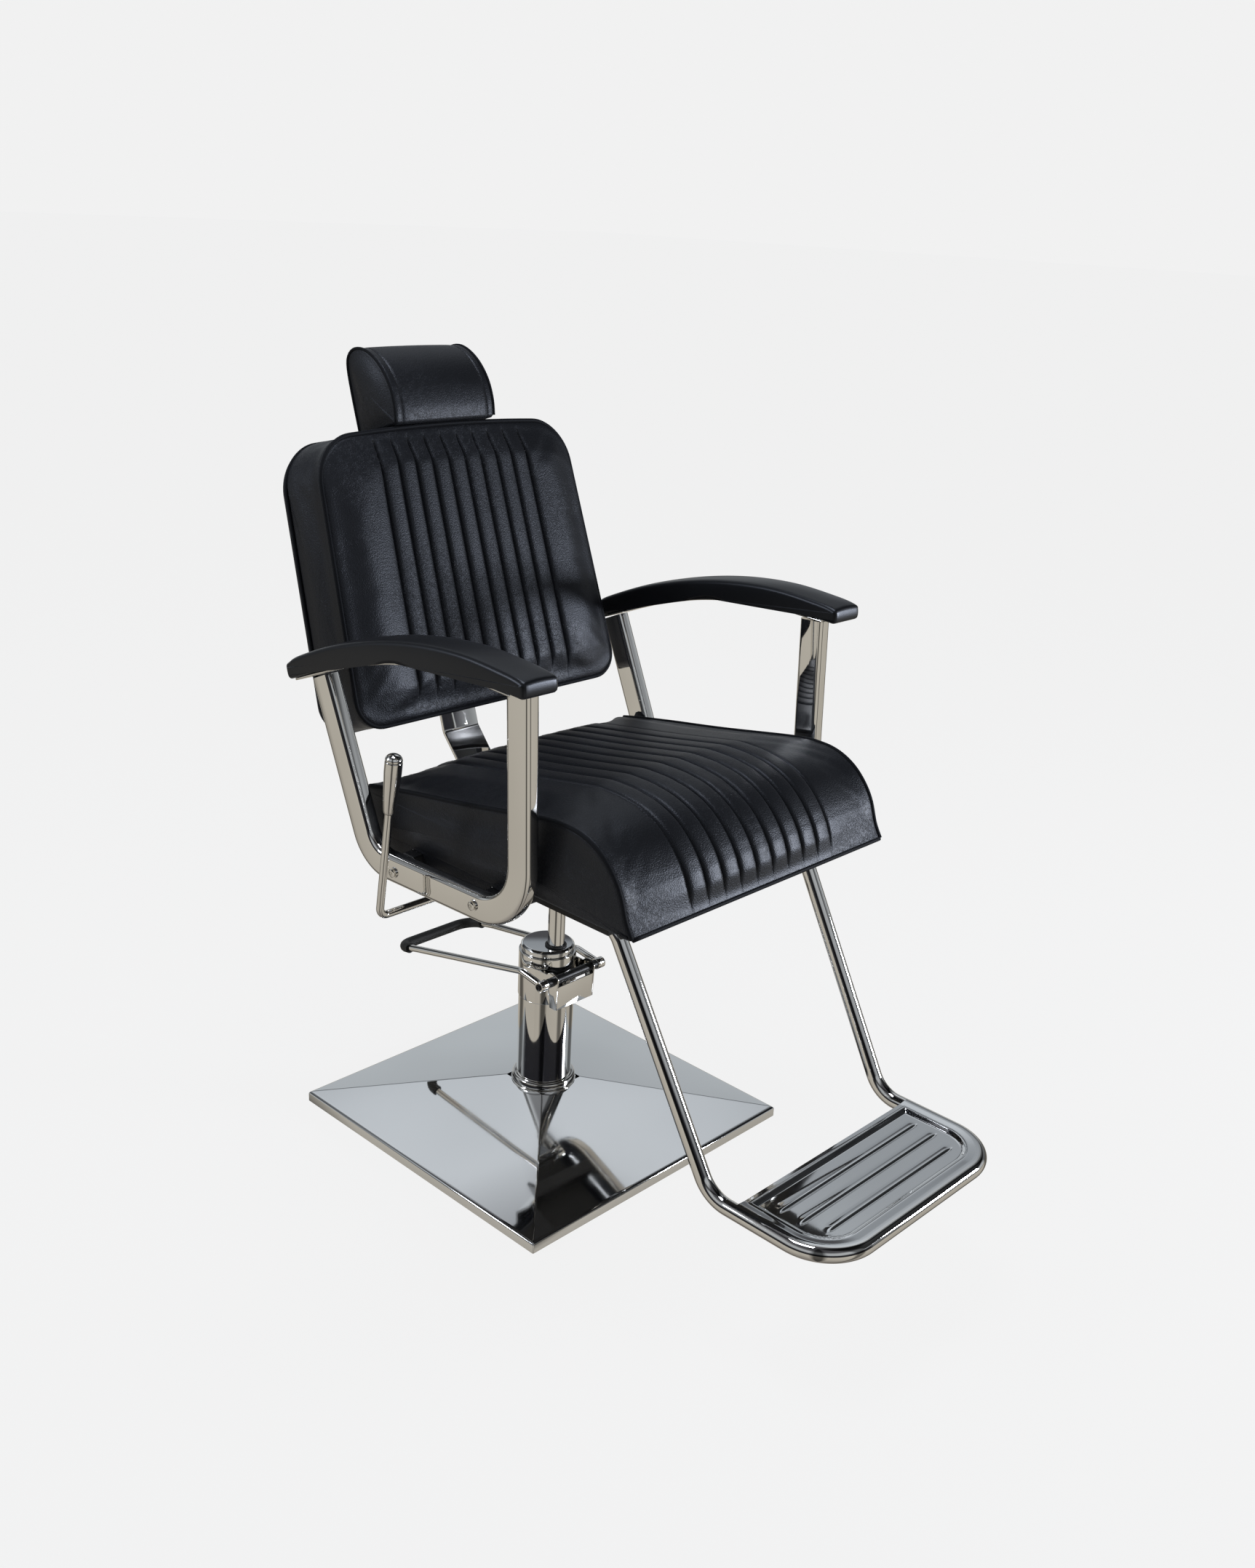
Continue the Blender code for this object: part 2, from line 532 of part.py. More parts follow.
def build_back_mount():
    """The fixed hinge block under the seat's rear edge, its pin, and the lock's guide."""
    ear_in, ear_out = BAR_WIDE / 2 + GAP, BAR_WIDE / 2 + 0.0065
    top = BEAM_TOP - GAP
    block = box("hinge_block", (-ear_out, 0.0108, 0.5125), (ear_out, 0.128, top), DARK_STEEL)
    for sign in (-1, 1):
        low, high = sorted((sign * ear_in, sign * ear_out))
        join(block, box("ear", (low, 0.106, 0.490), (high, 0.1279, 0.515), DARK_STEEL))
    pin_axis = (-0.060, HINGE_Y, HINGE_Z), (0.060, HINGE_Y, HINGE_Z)
    cut(block, rod("pin_hole", *pin_axis, PIN_RADIUS + GAP, DARK_STEEL, 20))
    rod("hinge_pin", (-ear_out - 0.002, HINGE_Y, HINGE_Z), (ear_out + 0.002, HINGE_Y, HINGE_Z), PIN_RADIUS,
        STEEL, 20)
    guide = box("lock_guide", (LOCK_X - 0.008, 0.021, LEVER_Z - LOCK_DROP - 0.008),
                (LOCK_X + 0.008, 0.035, PLATE_BOTTOM - GAP), DARK_STEEL)
    z = LEVER_Z - LOCK_DROP
    cut(guide, rod("guide_hole", (LOCK_X, -0.05, z), (LOCK_X, 0.1, z), LOCK_RADIUS + GAP, DARK_STEEL, 20))
    bearing = box("lever_bearing", (-0.215, LEVER_Y - 0.011, LEVER_Z - 0.011), (-0.205, 0.010, BEAM_BOTTOM - GAP),
                  DARK_STEEL)
    cut(bearing, rod("bearing_hole", (-0.3, LEVER_Y, LEVER_Z), (-0.1, LEVER_Y, LEVER_Z), LEVER_ROD + GAP, DARK_STEEL))


def build_back():
    # The flat bar rises behind the back and bends forward to the hinge barrel
    bar_w = BACK_THICK + GAP + BAR_THICK / 2
    top, bend = back_point(0, bar_w, 0.075), back_point(0, bar_w, -0.083)
    corners = [(top.y, top.z), (bend.y, bend.z), (0.151, 0.520), (0.137, HINGE_Z), (HINGE_Y, HINGE_Z)]
    path = [tuple(p) for p in arc_path(corners, [0.020, 0.014, 0.008], radians(15))]
    spine = bar("back_bracket", path, BAR_WIDE, BAR_THICK, 0.0012, 0, CHROME)
    barrel = (-BAR_WIDE / 2, HINGE_Y, HINGE_Z), (BAR_WIDE / 2, HINGE_Y, HINGE_Z)
    join(spine, rod("barrel", *barrel, BARREL_RADIUS, CHROME))
    cut(spine, rod("barrel_bore", (-0.05, HINGE_Y, HINGE_Z), (0.05, HINGE_Y, HINGE_Z), PIN_RADIUS + GAP, CHROME, 20))
    slot = box("quadrant_slot", (LOCK_X - 0.0035 - GAP, HINGE_Y - 0.03, HINGE_Z - 0.03),
               (LOCK_X + 0.0035 + GAP, HINGE_Y, HINGE_Z + 0.03), CHROME)
    cut(spine, slot)

    first, last, teeth = radians(237), radians(287), 8
    sector = [(HINGE_Y - 0.0085, HINGE_Z - 0.001)]
    for k in range(teeth * 2 + 1):
        turn = first + (last - first) * k / (teeth * 2)
        reach = QUADRANT_RADIUS - (0.0025 if k % 2 else 0)
        sector.append((HINGE_Y + reach * cos(turn), HINGE_Z + reach * sin(turn)))
    sector += [(HINGE_Y + 0.006, HINGE_Z - 0.0125), (HINGE_Y - 0.0006, HINGE_Z - 0.0105),
               (HINGE_Y - 0.0006, HINGE_Z - 0.0052), (HINGE_Y - 0.0052, HINGE_Z - 0.001)]
    plate("lock_quadrant", sector, LOCK_X - 0.003, LOCK_X + 0.003, STEEL)

    outline = back_outline()
    front = plate("back_cushion", outline, PANEL_THICK + GAP - BACK_THICK, 0, VINYL, BACK_FRAME)
    rounded(front, 0.012)
    panel = plate("back_panel", outline, -BACK_THICK,
                  PANEL_THICK - BACK_THICK, VINYL, BACK_FRAME)
    rounded(panel, 0.006)
    for side, x in (("right", -POST_X), ("left", POST_X)):
        ends = back_point(x, POST_W, 0.255), back_point(x, POST_W, 0.3745)
        cut(front, rod("guide_room", ends[0], back_point(x, POST_W, 0.45), GUIDE_RADIUS + GAP, VINYL, 20))
        guide = rod(f"post_guide_{side}", *ends, GUIDE_RADIUS, STEEL, 20)
        bore = back_point(x, POST_W, 0.2), back_point(x, POST_W, 0.45)
        cut(guide, rod("post_bore", *bore, POST_RADIUS + GAP, STEEL, 20))
    for name, u in (("lower", -0.005), ("upper", 0.050)):
        ends = back_point(0, bar_w + BAR_THICK / 2 + GAP, u), back_point(0, bar_w + BAR_THICK / 2 + 0.0045, u)
        rounded(rod(f"back_screw_{name}", *ends, 0.0080, CHROME, 20), 0.0015, 1)


def back_outline():
    """The back seen from its front: wider at the bottom, with rounded corners."""
    corners = [(0, BACK_TOP), (BACK_HALF_TOP, BACK_TOP - 0.010), (BACK_HALF_LOW, BACK_BOTTOM), (0, BACK_BOTTOM - 0.002)]
    half = [tuple(p) for p in arc_path(corners, [0.065, 0.045], radians(13))]
    return half + [(-x, u) for x, u in reversed(half[1:-1])]


def build_headrest():
    frame = BACK_FRAME @ Matrix(((0, 0, 1, 0), (0, 1, 0, 0), (-1, 0, 0, 0), (0, 0, 0, 1)))
    cushion = plate("headrest_cushion", HEAD_SECTION, -HEAD_HALF, HEAD_HALF, VINYL, frame)
    rounded(cushion, 0.008)
    for side, x in (("right", -POST_X), ("left", POST_X)):
        ends = back_point(x, POST_W, 0.275), back_point(x, POST_W, 0.415)
        rod(f"headrest_post_{side}", *ends, POST_RADIUS, CHROME, 16)
        cut(cushion, rod("post_room", back_point(x, POST_W, 0.33), back_point(x, POST_W, 0.415 + GAP),
                         POST_RADIUS + GAP, VINYL, 16))


def build_lever():
    """The hand lever at the sitter's right and the lock that it pulls."""
    lean = Vector((0, -sin(LEVER_LEAN), cos(LEVER_LEAN)))
    elbow = Vector((LEVER_X, LEVER_Y, LEVER_Z))
    grip_start = elbow + lean * 0.158
    path = arc_path([tuple(grip_start), tuple(elbow), (LOCK_X + 0.0025, LEVER_Y, LEVER_Z)], [0.014], radians(15))
    shaft = tube("lever_rod", path, LEVER_ROD, CHROME)
    crank = box("crank", (LOCK_X - 0.003, LEVER_Y - 0.004, LEVER_Z - LOCK_DROP - 0.006),
                (LOCK_X + 0.0028, LEVER_Y + 0.004, LEVER_Z + 0.002), CHROME)
    join(shaft, crank)
    at = tuple(grip_start + lean * GAP)
    turned("lever_grip", [(0, 0.0770), (0.0112, 0.0770), (0.0118, 0.0755), (0.0118, 0.060), (0.0095, 0.022),
                          (0.0078, 0.004), (0.0066, 0), (0, 0)], CHROME, at, LEVER_LEAN, 28)
    at = tuple(grip_start + lean * (0.0770 + 2 * GAP))
    turned("lever_knob", [(0, 0.0100), (0.0050, 0.0092), (0.0095, 0.0066), (0.0116, 0.0030), (0.0116, 0.0008),
                          (0.0108, 0), (0, 0)], CHROME, at, LEVER_LEAN, 28)
    z = LEVER_Z - LOCK_DROP
    reach = sqrt(QUADRANT_RADIUS ** 2 - (HINGE_Z - z - LOCK_RADIUS) ** 2)
    rod("lock_rod", (LOCK_X, LEVER_Y + 0.0062, z), (LOCK_X, HINGE_Y - reach - 0.0006, z), LOCK_RADIUS, STEEL, 16)


build_base()
build_pump()
build_bracket()
build_pedal()
build_seat_frame()
for hand in (-1, 1):
    build_arm(hand)
build_footrest()
build_back_mount()
build_back()
build_headrest()
build_lever()
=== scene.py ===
"""Looks of the hydraulic barber chair: upholstery, chrome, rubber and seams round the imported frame.
Metres, +Z up; the sitter faces -Y. Side outlines are lists of (y, z) points."""

from math import atan2, cos, exp, pi, radians, sin, sqrt, tan

import bmesh
import bpy
import numpy as np
from mathutils import Matrix, Vector
from mathutils.bvhtree import BVHTree
from mathutils.kdtree import KDTree


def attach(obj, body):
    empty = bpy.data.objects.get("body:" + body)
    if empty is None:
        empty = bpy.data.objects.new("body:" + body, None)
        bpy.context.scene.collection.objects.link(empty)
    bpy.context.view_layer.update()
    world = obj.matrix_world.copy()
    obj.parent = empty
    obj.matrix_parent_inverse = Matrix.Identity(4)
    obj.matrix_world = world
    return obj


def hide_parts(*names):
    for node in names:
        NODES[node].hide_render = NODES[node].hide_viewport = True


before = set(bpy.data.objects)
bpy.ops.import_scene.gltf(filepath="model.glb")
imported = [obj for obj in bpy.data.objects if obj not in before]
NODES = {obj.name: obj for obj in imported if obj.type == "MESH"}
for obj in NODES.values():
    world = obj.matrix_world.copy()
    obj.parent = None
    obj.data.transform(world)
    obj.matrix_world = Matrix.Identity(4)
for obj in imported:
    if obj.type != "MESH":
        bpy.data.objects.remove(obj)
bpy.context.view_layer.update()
SIDES = (("left", 1), ("right", -1))
GAP = 0.0003

# Base and pump
BASE_HALF = 0.265
RIM_HEIGHT = 0.015
RIM_INSET = 0.0044
PYRAMID_SLOPE = 0.197
BOSS_RADIUS = 0.052
BOSS_TOP = 0.0607
COLUMN_RADIUS = 0.0432
SLEEVE_RADIUS = 0.0445
SLEEVE_BOTTOM = 0.2108
CAP_RADIUS = 0.0415
CAP_BOTTOM = 0.2875
CAP_TOP = 0.2986
RAM_Y = -0.018
RAM_RADIUS = 0.013
PIVOT_Y = -0.053
PIVOT_Z = 0.262
PEDAL_HALF = 0.060
PEDAL_REAR = 0.290
PEDAL_REAR_Z = 0.200
BRACKET_FRONT = -0.0630
BRACKET_HALF = 0.0395

# Arms
ARM_X = 0.288
ARM_WIDE = 0.024
ARM_DEEP = 0.041
ARM_PATH = [(-0.2390, 0.8178), (-0.2503, 0.508), (0.0573, 0.4988), (0.1632, 0.7385)]
ARM_RADII = [0.0755, 0.058]
PAD_IN = 0.272
PAD_OUT = 0.331
STRIP_LINE = [(-0.258, 0.8215), (-0.237, 0.8225), (-0.170, 0.825), (-0.100, 0.820), (-0.019, 0.806),
              (0.066, 0.781), (0.125, 0.7595), (0.1800, 0.7374)]
PAD_UNDERSIDE = [(-0.280, 0.8208), (-0.272, 0.8212), (-0.237, 0.8228), (-0.170, 0.8253), (-0.100, 0.8203),
                 (-0.019, 0.8063), (0.066, 0.7813), (0.125, 0.7598), (0.184, 0.7361), (0.190, 0.7345)]
PAD_CROWN = [(0.1950, 0.7385), (0.1985, 0.752), (0.1940, 0.7575), (0.170, 0.772), (0.092, 0.804), (0.000, 0.831),
             (-0.087, 0.847), (-0.171, 0.853), (-0.248, 0.8485), (-0.2800, 0.8435), (-0.2855, 0.8380),
             (-0.2860, 0.8250)]

# Seat
BOARD_TOP = 0.5303
SEAT_HALF = 0.2595
SEAT_TOP = [(-0.4130, 0.536), (-0.4015, 0.556), (-0.390, 0.588), (-0.374, 0.612),
            (-0.353, 0.631), (-0.327, 0.6435), (-0.296, 0.6485), (-0.248, 0.6455), (-0.106, 0.621),
            (0.016, 0.602), (0.104, 0.5860), (0.1190, 0.5785), (0.1245, 0.566)]
SEAT_SEAMS = [0.0163, 0.0490, 0.0813, 0.1138, 0.1462]

# Back
BACK_TILT = radians(18.1)
BACK_Y = 0.139
BACK_Z = 0.700
BACK_BOTTOM = -0.047
BACK_TOP = 0.376
BACK_HALF_LOW = 0.2585
BACK_HALF_TOP = 0.2370
BACK_THICK = 0.101
PANEL_THICK = 0.012
BACK_SEAMS = [0.0160, 0.0480, 0.0800, 0.1118, 0.1440]

# Headrest
HEAD_HALF = 0.095
HEAD_SECTION = [(-0.004, 0.379), (-0.008, 0.402), (-0.006, 0.430), (0.004, 0.457), (0.020, 0.479), (0.040, 0.494),
                (0.062, 0.499), (0.078, 0.492), (0.085, 0.476), (0.087, 0.440), (0.087, 0.379)]

# Footrest and lever
FOOT_TOP_X = 0.195
FOOT_X = 0.187
FOOT_RADIUS = 0.011
FOOT_TOP_Z = 0.5035
FOOT_PLATE_Z = 0.184
FOOT_KNEE = -0.507
FOOT_FRONT = -0.7035
FOOT_CORNER = 0.070
FOOT_PLATE_REAR = -0.551
FOOT_SLOPE = radians(60.2)
FOOT_GROOVES = [-0.5940, -0.6265, -0.6600]
LEVER_X = -0.340
LEVER_Y = -0.022
LEVER_Z = 0.4516
LEVER_LEAN = radians(8.0)
LEVER_ROD = 0.0055
PEDAL_ROD = 0.0055
PEDAL_GRIP = 0.0086
HINGE = (0, 0.118, 0.500)
SEAT_PIPE = 0.0031
SKIRT_TOP, SKIRT_NOTCH, SKIRT_LOW = 0.5400, 0.5184, 0.5030
SKIRT_RUNS = ((-0.2120, -0.1803), (-0.1549, -0.0147), (0.0107, 0.1200))
CLOTH_SHARE = 0.36
HEAD_CLOTH_SHARE = 0.30


# ---------------------------------------------------------------- finishes

def group_sockets(tree, inputs, outputs):
    """Names a shader group's sockets and hands back its two end nodes."""
    for name, kind, value in inputs:
        socket = tree.interface.new_socket(name=name, in_out="INPUT", socket_type=kind)
        if value is not None:
            socket.default_value = value
    for name, kind in outputs:
        tree.interface.new_socket(name=name, in_out="OUTPUT", socket_type=kind)
    return tree.nodes.new("NodeGroupInput"), tree.nodes.new("NodeGroupOutput")


def set_values(node, values):
    for key, value in values.items():
        node.inputs[key].default_value = value


def add_node(tree, kind, settings=None, links=None, values=None):
    """A node with its settings, its unlinked values and what feeds its inputs."""
    node = tree.nodes.new(kind)
    for key, value in (settings or {}).items():
        setattr(node, key, value)
    set_values(node, values or {})
    for key, source in (links or {}).items():
        tree.links.new(source, node.inputs[key])
    return node


def math_node(tree, operation, first, second=None, third=None):
    node = tree.nodes.new("ShaderNodeMath")
    node.operation = operation
    for i, source in enumerate((first, second, third)):
        if source is None:
            continue
        if isinstance(source, (int, float)):
            node.inputs[i].default_value = source
        else:
            tree.links.new(source, node.inputs[i])
    return node.outputs[0]


def noise(tree, vector, scale, detail, **values):
    """Noise whose scale is a number or another node's output."""
    fixed = isinstance(scale, float)
    links = {"Vector": vector} if fixed else {"Vector": vector, "Scale": scale}
    values = {"Detail": detail, **values, **({"Scale": scale} if fixed else {})}
    return add_node(tree, "ShaderNodeTexNoise", links=links, values=values).outputs["Fac"]


def eased(tree, value, low, high, start=0.0, end=1.0):
    """A smooth step from start to end as the value goes from low to high."""
    node = add_node(tree, "ShaderNodeMapRange", {"interpolation_type": "SMOOTHSTEP"}, {"Value": value},
                    {"From Min": low, "From Max": high, "To Min": start, "To Max": end})
    return node.outputs["Result"]


def shader_group(name, inputs, outputs):
    """An empty shader group that takes a vector and numbers and gives numbers."""
    tree = bpy.data.node_groups.new(name, "ShaderNodeTree")
    sockets = [("Vector", "NodeSocketVector", None)]
    sockets += [(key, "NodeSocketFloat", value) for key, value in inputs.items()]
    start, end = group_sockets(tree, sockets, [(key, "NodeSocketFloat") for key in outputs])
    return tree, start.outputs, end.inputs


def build_hide_group():
    """Embossed hide: round pebbles, creases that run between them, and slow changes of tone."""
    tree, given, wanted = shader_group("embossed_hide", {"Pebbles": 620.0, "Creases": 26.0, "Crease Depth": 0.5},
                                       ("Height", "Tone", "Polish"))
    vector = given["Vector"]
    pebble = add_node(tree, "ShaderNodeTexVoronoi", {"feature": "SMOOTH_F1"},
                      {"Vector": vector, "Scale": given["Pebbles"]}, {"Smoothness": 0.6, "Randomness": 0.9})
    fine = noise(tree, vector, 340.0, 4.0)
    slow = noise(tree, vector, 5.0, 3.0)
    bent = noise(tree, vector, given["Creases"], 5.0, Roughness=0.62, Distortion=1.4)
    ridge = math_node(tree, "ABSOLUTE", math_node(tree, "SUBTRACT", bent, 0.5))
    patch = math_node(tree, "MULTIPLY", eased(tree, slow, 0.42, 0.62), given["Crease Depth"])
    shallow = math_node(tree, "MULTIPLY", math_node(tree, "SUBTRACT", eased(tree, ridge, 0.0, 0.05), 1.0), patch)
    grain = math_node(tree, "MULTIPLY_ADD", fine, 0.35, math_node(tree, "MULTIPLY", pebble.outputs["Distance"], -0.55))
    tree.links.new(math_node(tree, "ADD", grain, shallow), wanted["Height"])
    tree.links.new(slow, wanted["Tone"])
    rub = math_node(tree, "MULTIPLY_ADD", pebble.outputs["Distance"], 0.30, math_node(tree, "MULTIPLY", slow, 0.70))
    tree.links.new(rub, wanted["Polish"])
    return tree


def build_plating_group():
    """Plated metal: a faint roll of the surface under it, haze and hairline polishing marks."""
    tree, given, wanted = shader_group("plated_metal", {"Roll": 9.0, "Marks": 260.0}, ("Height", "Haze", "Tarnish"))
    vector = given["Vector"]
    roll = noise(tree, vector, given["Roll"], 1.0)
    stretched = add_node(tree, "ShaderNodeMapping", links={"Vector": vector}, values={"Scale": (1.0, 1.0, 0.06)})
    marks = noise(tree, stretched.outputs["Vector"], given["Marks"], 3.0)
    tree.links.new(math_node(tree, "MULTIPLY_ADD", marks, 0.02, roll), wanted["Height"])
    tree.links.new(eased(tree, noise(tree, vector, 14.0, 6.0), 0.35, 0.75), wanted["Haze"])
    tree.links.new(roll, wanted["Tarnish"])
    return tree


def build_coarse_group():
    """Rough matter such as cast iron, rubber and board: speckle, pores and slow blotches."""
    tree, given, wanted = shader_group("coarse_matter", {"Grain": 300.0}, ("Height", "Speckle", "Blotch"))
    vector = given["Vector"]
    grain = noise(tree, vector, given["Grain"], 5.0, Roughness=0.7)
    pores = add_node(tree, "ShaderNodeTexVoronoi", links={"Vector": vector, "Scale": given["Grain"]})
    tree.links.new(math_node(tree, "MULTIPLY_ADD", pores.outputs["Distance"], 0.5, grain), wanted["Height"])
    tree.links.new(grain, wanted["Speckle"])
    tree.links.new(noise(tree, vector, 11.0, 4.0), wanted["Blotch"])
    return tree


HIDE = build_hide_group()
PLATING = build_plating_group()
COARSE = build_coarse_group()


def blank_material(name):
    made = bpy.data.materials.new(name)
    made.use_nodes = True
    tree = made.node_tree
    coordinates = add_node(tree, "ShaderNodeTexCoord")
    return made, tree, tree.nodes["Principled BSDF"], coordinates.outputs["Object"]


def ramp(tree, source, stops):
    """A colour ramp through the (position, colour) stops."""
    node = add_node(tree, "ShaderNodeValToRGB", links={"Fac": source})
    while len(node.color_ramp.elements) < len(stops):
        node.color_ramp.elements.new(0.5)
    for element, (position, tone) in zip(node.color_ramp.elements, stops):
        element.position = position
        element.color = (*tone, 1.0)
    return node.outputs["Color"]


def patterned(name, group, values, tone_by, haze_by, tones, rough, bump, distance):
    """A material whose tone, roughness and relief come from one shader group."""
    made, tree, shader, vector = blank_material(name)
    pattern = add_node(tree, "ShaderNodeGroup", {"node_tree": group}, {"Vector": vector}, values)
    shade = ramp(tree, pattern.outputs[tone_by], list(zip((0.3, 0.7), tones)))
    haze = add_node(tree, "ShaderNodeMapRange", links={"Value": pattern.outputs[haze_by]},
                    values={"To Min": rough[0], "To Max": rough[1]})
    relief = add_node(tree, "ShaderNodeBump", links={"Height": pattern.outputs["Height"]},
                      values={"Strength": bump, "Distance": distance})
    tree.links.new(shade, shader.inputs["Base Color"])
    tree.links.new(haze.outputs["Result"], shader.inputs["Roughness"])
    tree.links.new(relief.outputs["Normal"], shader.inputs["Normal"])
    return made, shader


def upholstery(name, dark, light, rough, bump, pebbles, creases, depth, gloss=0.38, coat=0.05):
    made, shader = patterned(name, HIDE, {"Pebbles": pebbles, "Creases": creases, "Crease Depth": depth}, "Tone",
                             "Polish", (dark, light), rough, bump, 0.0006)
    set_values(shader, {"Specular IOR Level": gloss, "Specular Tint": (0.80, 0.86, 1.0, 1.0), "Sheen Weight": 0.03,
                        "Sheen Roughness": 0.45, "Sheen Tint": (0.62, 0.66, 0.80, 1.0), "Coat Weight": coat,
                        "Coat Roughness": 0.32})
    return made


def plated(name, tint, shade, rough, roll, bump):
    made, shader = patterned(name, PLATING, {"Roll": roll}, "Tarnish", "Haze", (shade, tint), rough, bump, 0.002)
    set_values(shader, {"Metallic": 1.0})
    return made


def rough_matter(name, dark, light, rough, grain, bump, metallic=0.0):
    made, shader = patterned(name, COARSE, {"Grain": grain}, "Blotch", "Speckle", (dark, light), rough, bump, 0.0008)
    set_values(shader, {"Metallic": metallic})
    return made


VINYL = upholstery("black_hide", (0.0040, 0.0042, 0.0050), (0.0072, 0.0077, 0.0094), (0.37, 0.50), 0.85, 560.0,
                   88.0, 0.24)
PIPING = upholstery("piping_hide", (0.0036, 0.0038, 0.0044), (0.0064, 0.0068, 0.0080), (0.55, 0.68), 0.25, 620.0,
                    60.0, 0.3, 0.15, 0.0)
PAD_SKIN = upholstery("arm_pad_skin", (0.0040, 0.0041, 0.0046), (0.0062, 0.0065, 0.0074), (0.30, 0.40), 0.10, 900.0,
                      14.0, 0.1)
THREAD = rough_matter("seam_thread", (0.0025, 0.0025, 0.003), (0.006, 0.006, 0.007), (0.55, 0.75), 2400.0, 0.3)
CHROME = plated("chrome_plate", (0.86, 0.85, 0.83), (0.80, 0.79, 0.77), (0.025, 0.060), 7.0, 0.012)
SHEET_CHROME = plated("chrome_sheet", (0.84, 0.85, 0.86), (0.78, 0.79, 0.80), (0.035, 0.080), 4.0, 0.05)
STEEL = plated("turned_steel", (0.46, 0.46, 0.46), (0.36, 0.36, 0.36), (0.22, 0.38), 20.0, 0.05)
DARK_STEEL = rough_matter("black_enamel", (0.011, 0.011, 0.012), (0.022, 0.022, 0.023), (0.30, 0.48), 420.0, 0.12, 0.35)
IRON = rough_matter("cast_iron", (0.035, 0.034, 0.033), (0.075, 0.070, 0.065), (0.60, 0.85), 260.0, 0.6, 0.6)
RUBBER = rough_matter("black_rubber", (0.010, 0.010, 0.010), (0.019, 0.019, 0.018), (0.50, 0.68), 700.0, 0.25)
BOARD = rough_matter("black_lined_board", (0.006, 0.006, 0.006), (0.014, 0.013, 0.012), (0.65, 0.85), 120.0, 0.3)

# ---------------------------------------------------------------- shapes

def ease(t):
    return t * t * (3 - 2 * t)


def both_ways(seams):
    return sorted([-s for s in seams] + list(seams))


def linked(name, data):
    obj = bpy.data.objects.new(name, data)
    bpy.context.scene.collection.objects.link(obj)
    return obj


def smooth_line(points, spacing, closed=False):
    """An even line through the points."""
    points = np.array(points, float)
    count = len(points)
    fine = []
    for i in range(count if closed else count - 1):
        if closed:
            picked = [points[(i + k) % count] for k in (-1, 0, 1, 2)]
        else:
            picked = [points[min(max(i + k, 0), count - 1)] for k in (-1, 0, 1, 2)]
        before, here, there, after = picked
        for t in np.linspace(0, 1, 20, endpoint=False):
            fine.append(0.5 * (2 * here + (there - before) * t + (2 * before - 5 * here + 4 * there - after) * t ** 2
                               + (3 * here - before - 3 * there + after) * t ** 3))
    fine.append(points[0] if closed else points[-1])
    return even_line(fine, spacing, closed)


def even_line(points, spacing, closed=False):
    points = np.array([tuple(p) for p in points], float)
    steps = np.linalg.norm(np.diff(points, axis=0), axis=1)
    along = np.concatenate([[0], np.cumsum(steps)])
    count = max(3, round(along[-1] / spacing) + (0 if closed else 1))
    wanted = np.linspace(0, along[-1], count, endpoint=not closed)
    return np.column_stack([np.interp(wanted, along, points[:, k]) for k in range(points.shape[1])])


def arc_path(corners, radii, turn=radians(4)):
    """A path through corners, each rounded to its radius; the first and the last corner stay."""
    corners = [Vector(c) for c in corners]
    path = [corners[0]]
    for i, radius in enumerate(radii, start=1):
        before = (corners[i - 1] - corners[i]).normalized()
        after = (corners[i + 1] - corners[i]).normalized()
        half = before.angle(after) / 2
        centre = corners[i] + (before + after).normalized() * (radius / sin(half))
        start = corners[i] + before * (radius / tan(half)) - centre
        end = corners[i] + after * (radius / tan(half)) - centre
        sweep_angle = start.angle(end)
        steps = max(2, round(sweep_angle / turn))
        for k in range(steps + 1):
            t = sweep_angle * k / steps
            path.append(centre + (start * sin(sweep_angle - t) + end * sin(t)) / sin(sweep_angle))
    path.append(corners[-1])
    return path


def normals_of(outline, closed=True):
    """Unit normals to the right of a 2D line's direction."""
    outline = np.array(outline, float)
    if closed:
        tangent = np.roll(outline, -1, 0) - np.roll(outline, 1, 0)
    else:
        tangent = np.gradient(outline, axis=0)
    tangent /= np.linalg.norm(tangent, axis=1)[:, None]
    return np.column_stack([tangent[:, 1], -tangent[:, 0]])


def outward(outline):
    outline = np.array(outline, float)
    following = np.roll(outline, -1, 0)
    area = np.sum(outline[:, 0] * following[:, 1] - following[:, 0] * outline[:, 1])
    return normals_of(outline) * (1 if area > 0 else -1)


def new_piece(name, verts, faces, finish, sharp=None):
    """A welded mesh object with outward normals and its material, linked and at the origin."""
    shape = bmesh.new()
    made = [shape.verts.new(tuple(v)) for v in verts]
    for face in faces:
        if len(set(face)) > 2:
            shape.faces.new([made[i] for i in face])
    bmesh.ops.remove_doubles(shape, verts=shape.verts, dist=0.00002)
    bmesh.ops.recalc_face_normals(shape, faces=shape.faces)
    return piece_from(name, shape, finish, sharp)


def piece_from(name, shape, finish, sharp=None):
    data = bpy.data.meshes.new(name)
    shape.to_mesh(data)
    shape.free()
    data.materials.append(finish)
    data.shade_smooth()
    if sharp:
        data.set_sharp_from_angle(angle=radians(sharp))
    return linked(name, data)


def grid_faces(rows, columns, offset=0, wrap_rows=False, wrap_columns=False):
    faces = []
    for i in range(rows if wrap_rows else rows - 1):
        for j in range(columns if wrap_columns else columns - 1):
            a, b = offset + i * columns + j, offset + i * columns + (j + 1) % columns
            c = offset + (i + 1) % rows * columns + (j + 1) % columns
            d = offset + (i + 1) % rows * columns + j
            faces.append((a, b, c, d))
    return faces


def ring_quads(first, second):
    """The quads between two rings of vertex numbers."""
    count = len(first)
    return [(first[j], first[(j + 1) % count], second[(j + 1) % count], second[j]) for j in range(count)]


def rings_across(stations, insets, outline, facing):
    """The outline at each station across, drawn in by that station's inset."""
    return np.array([[(x, *point) for point in outline - facing * inset] for x, inset in zip(stations, insets)])


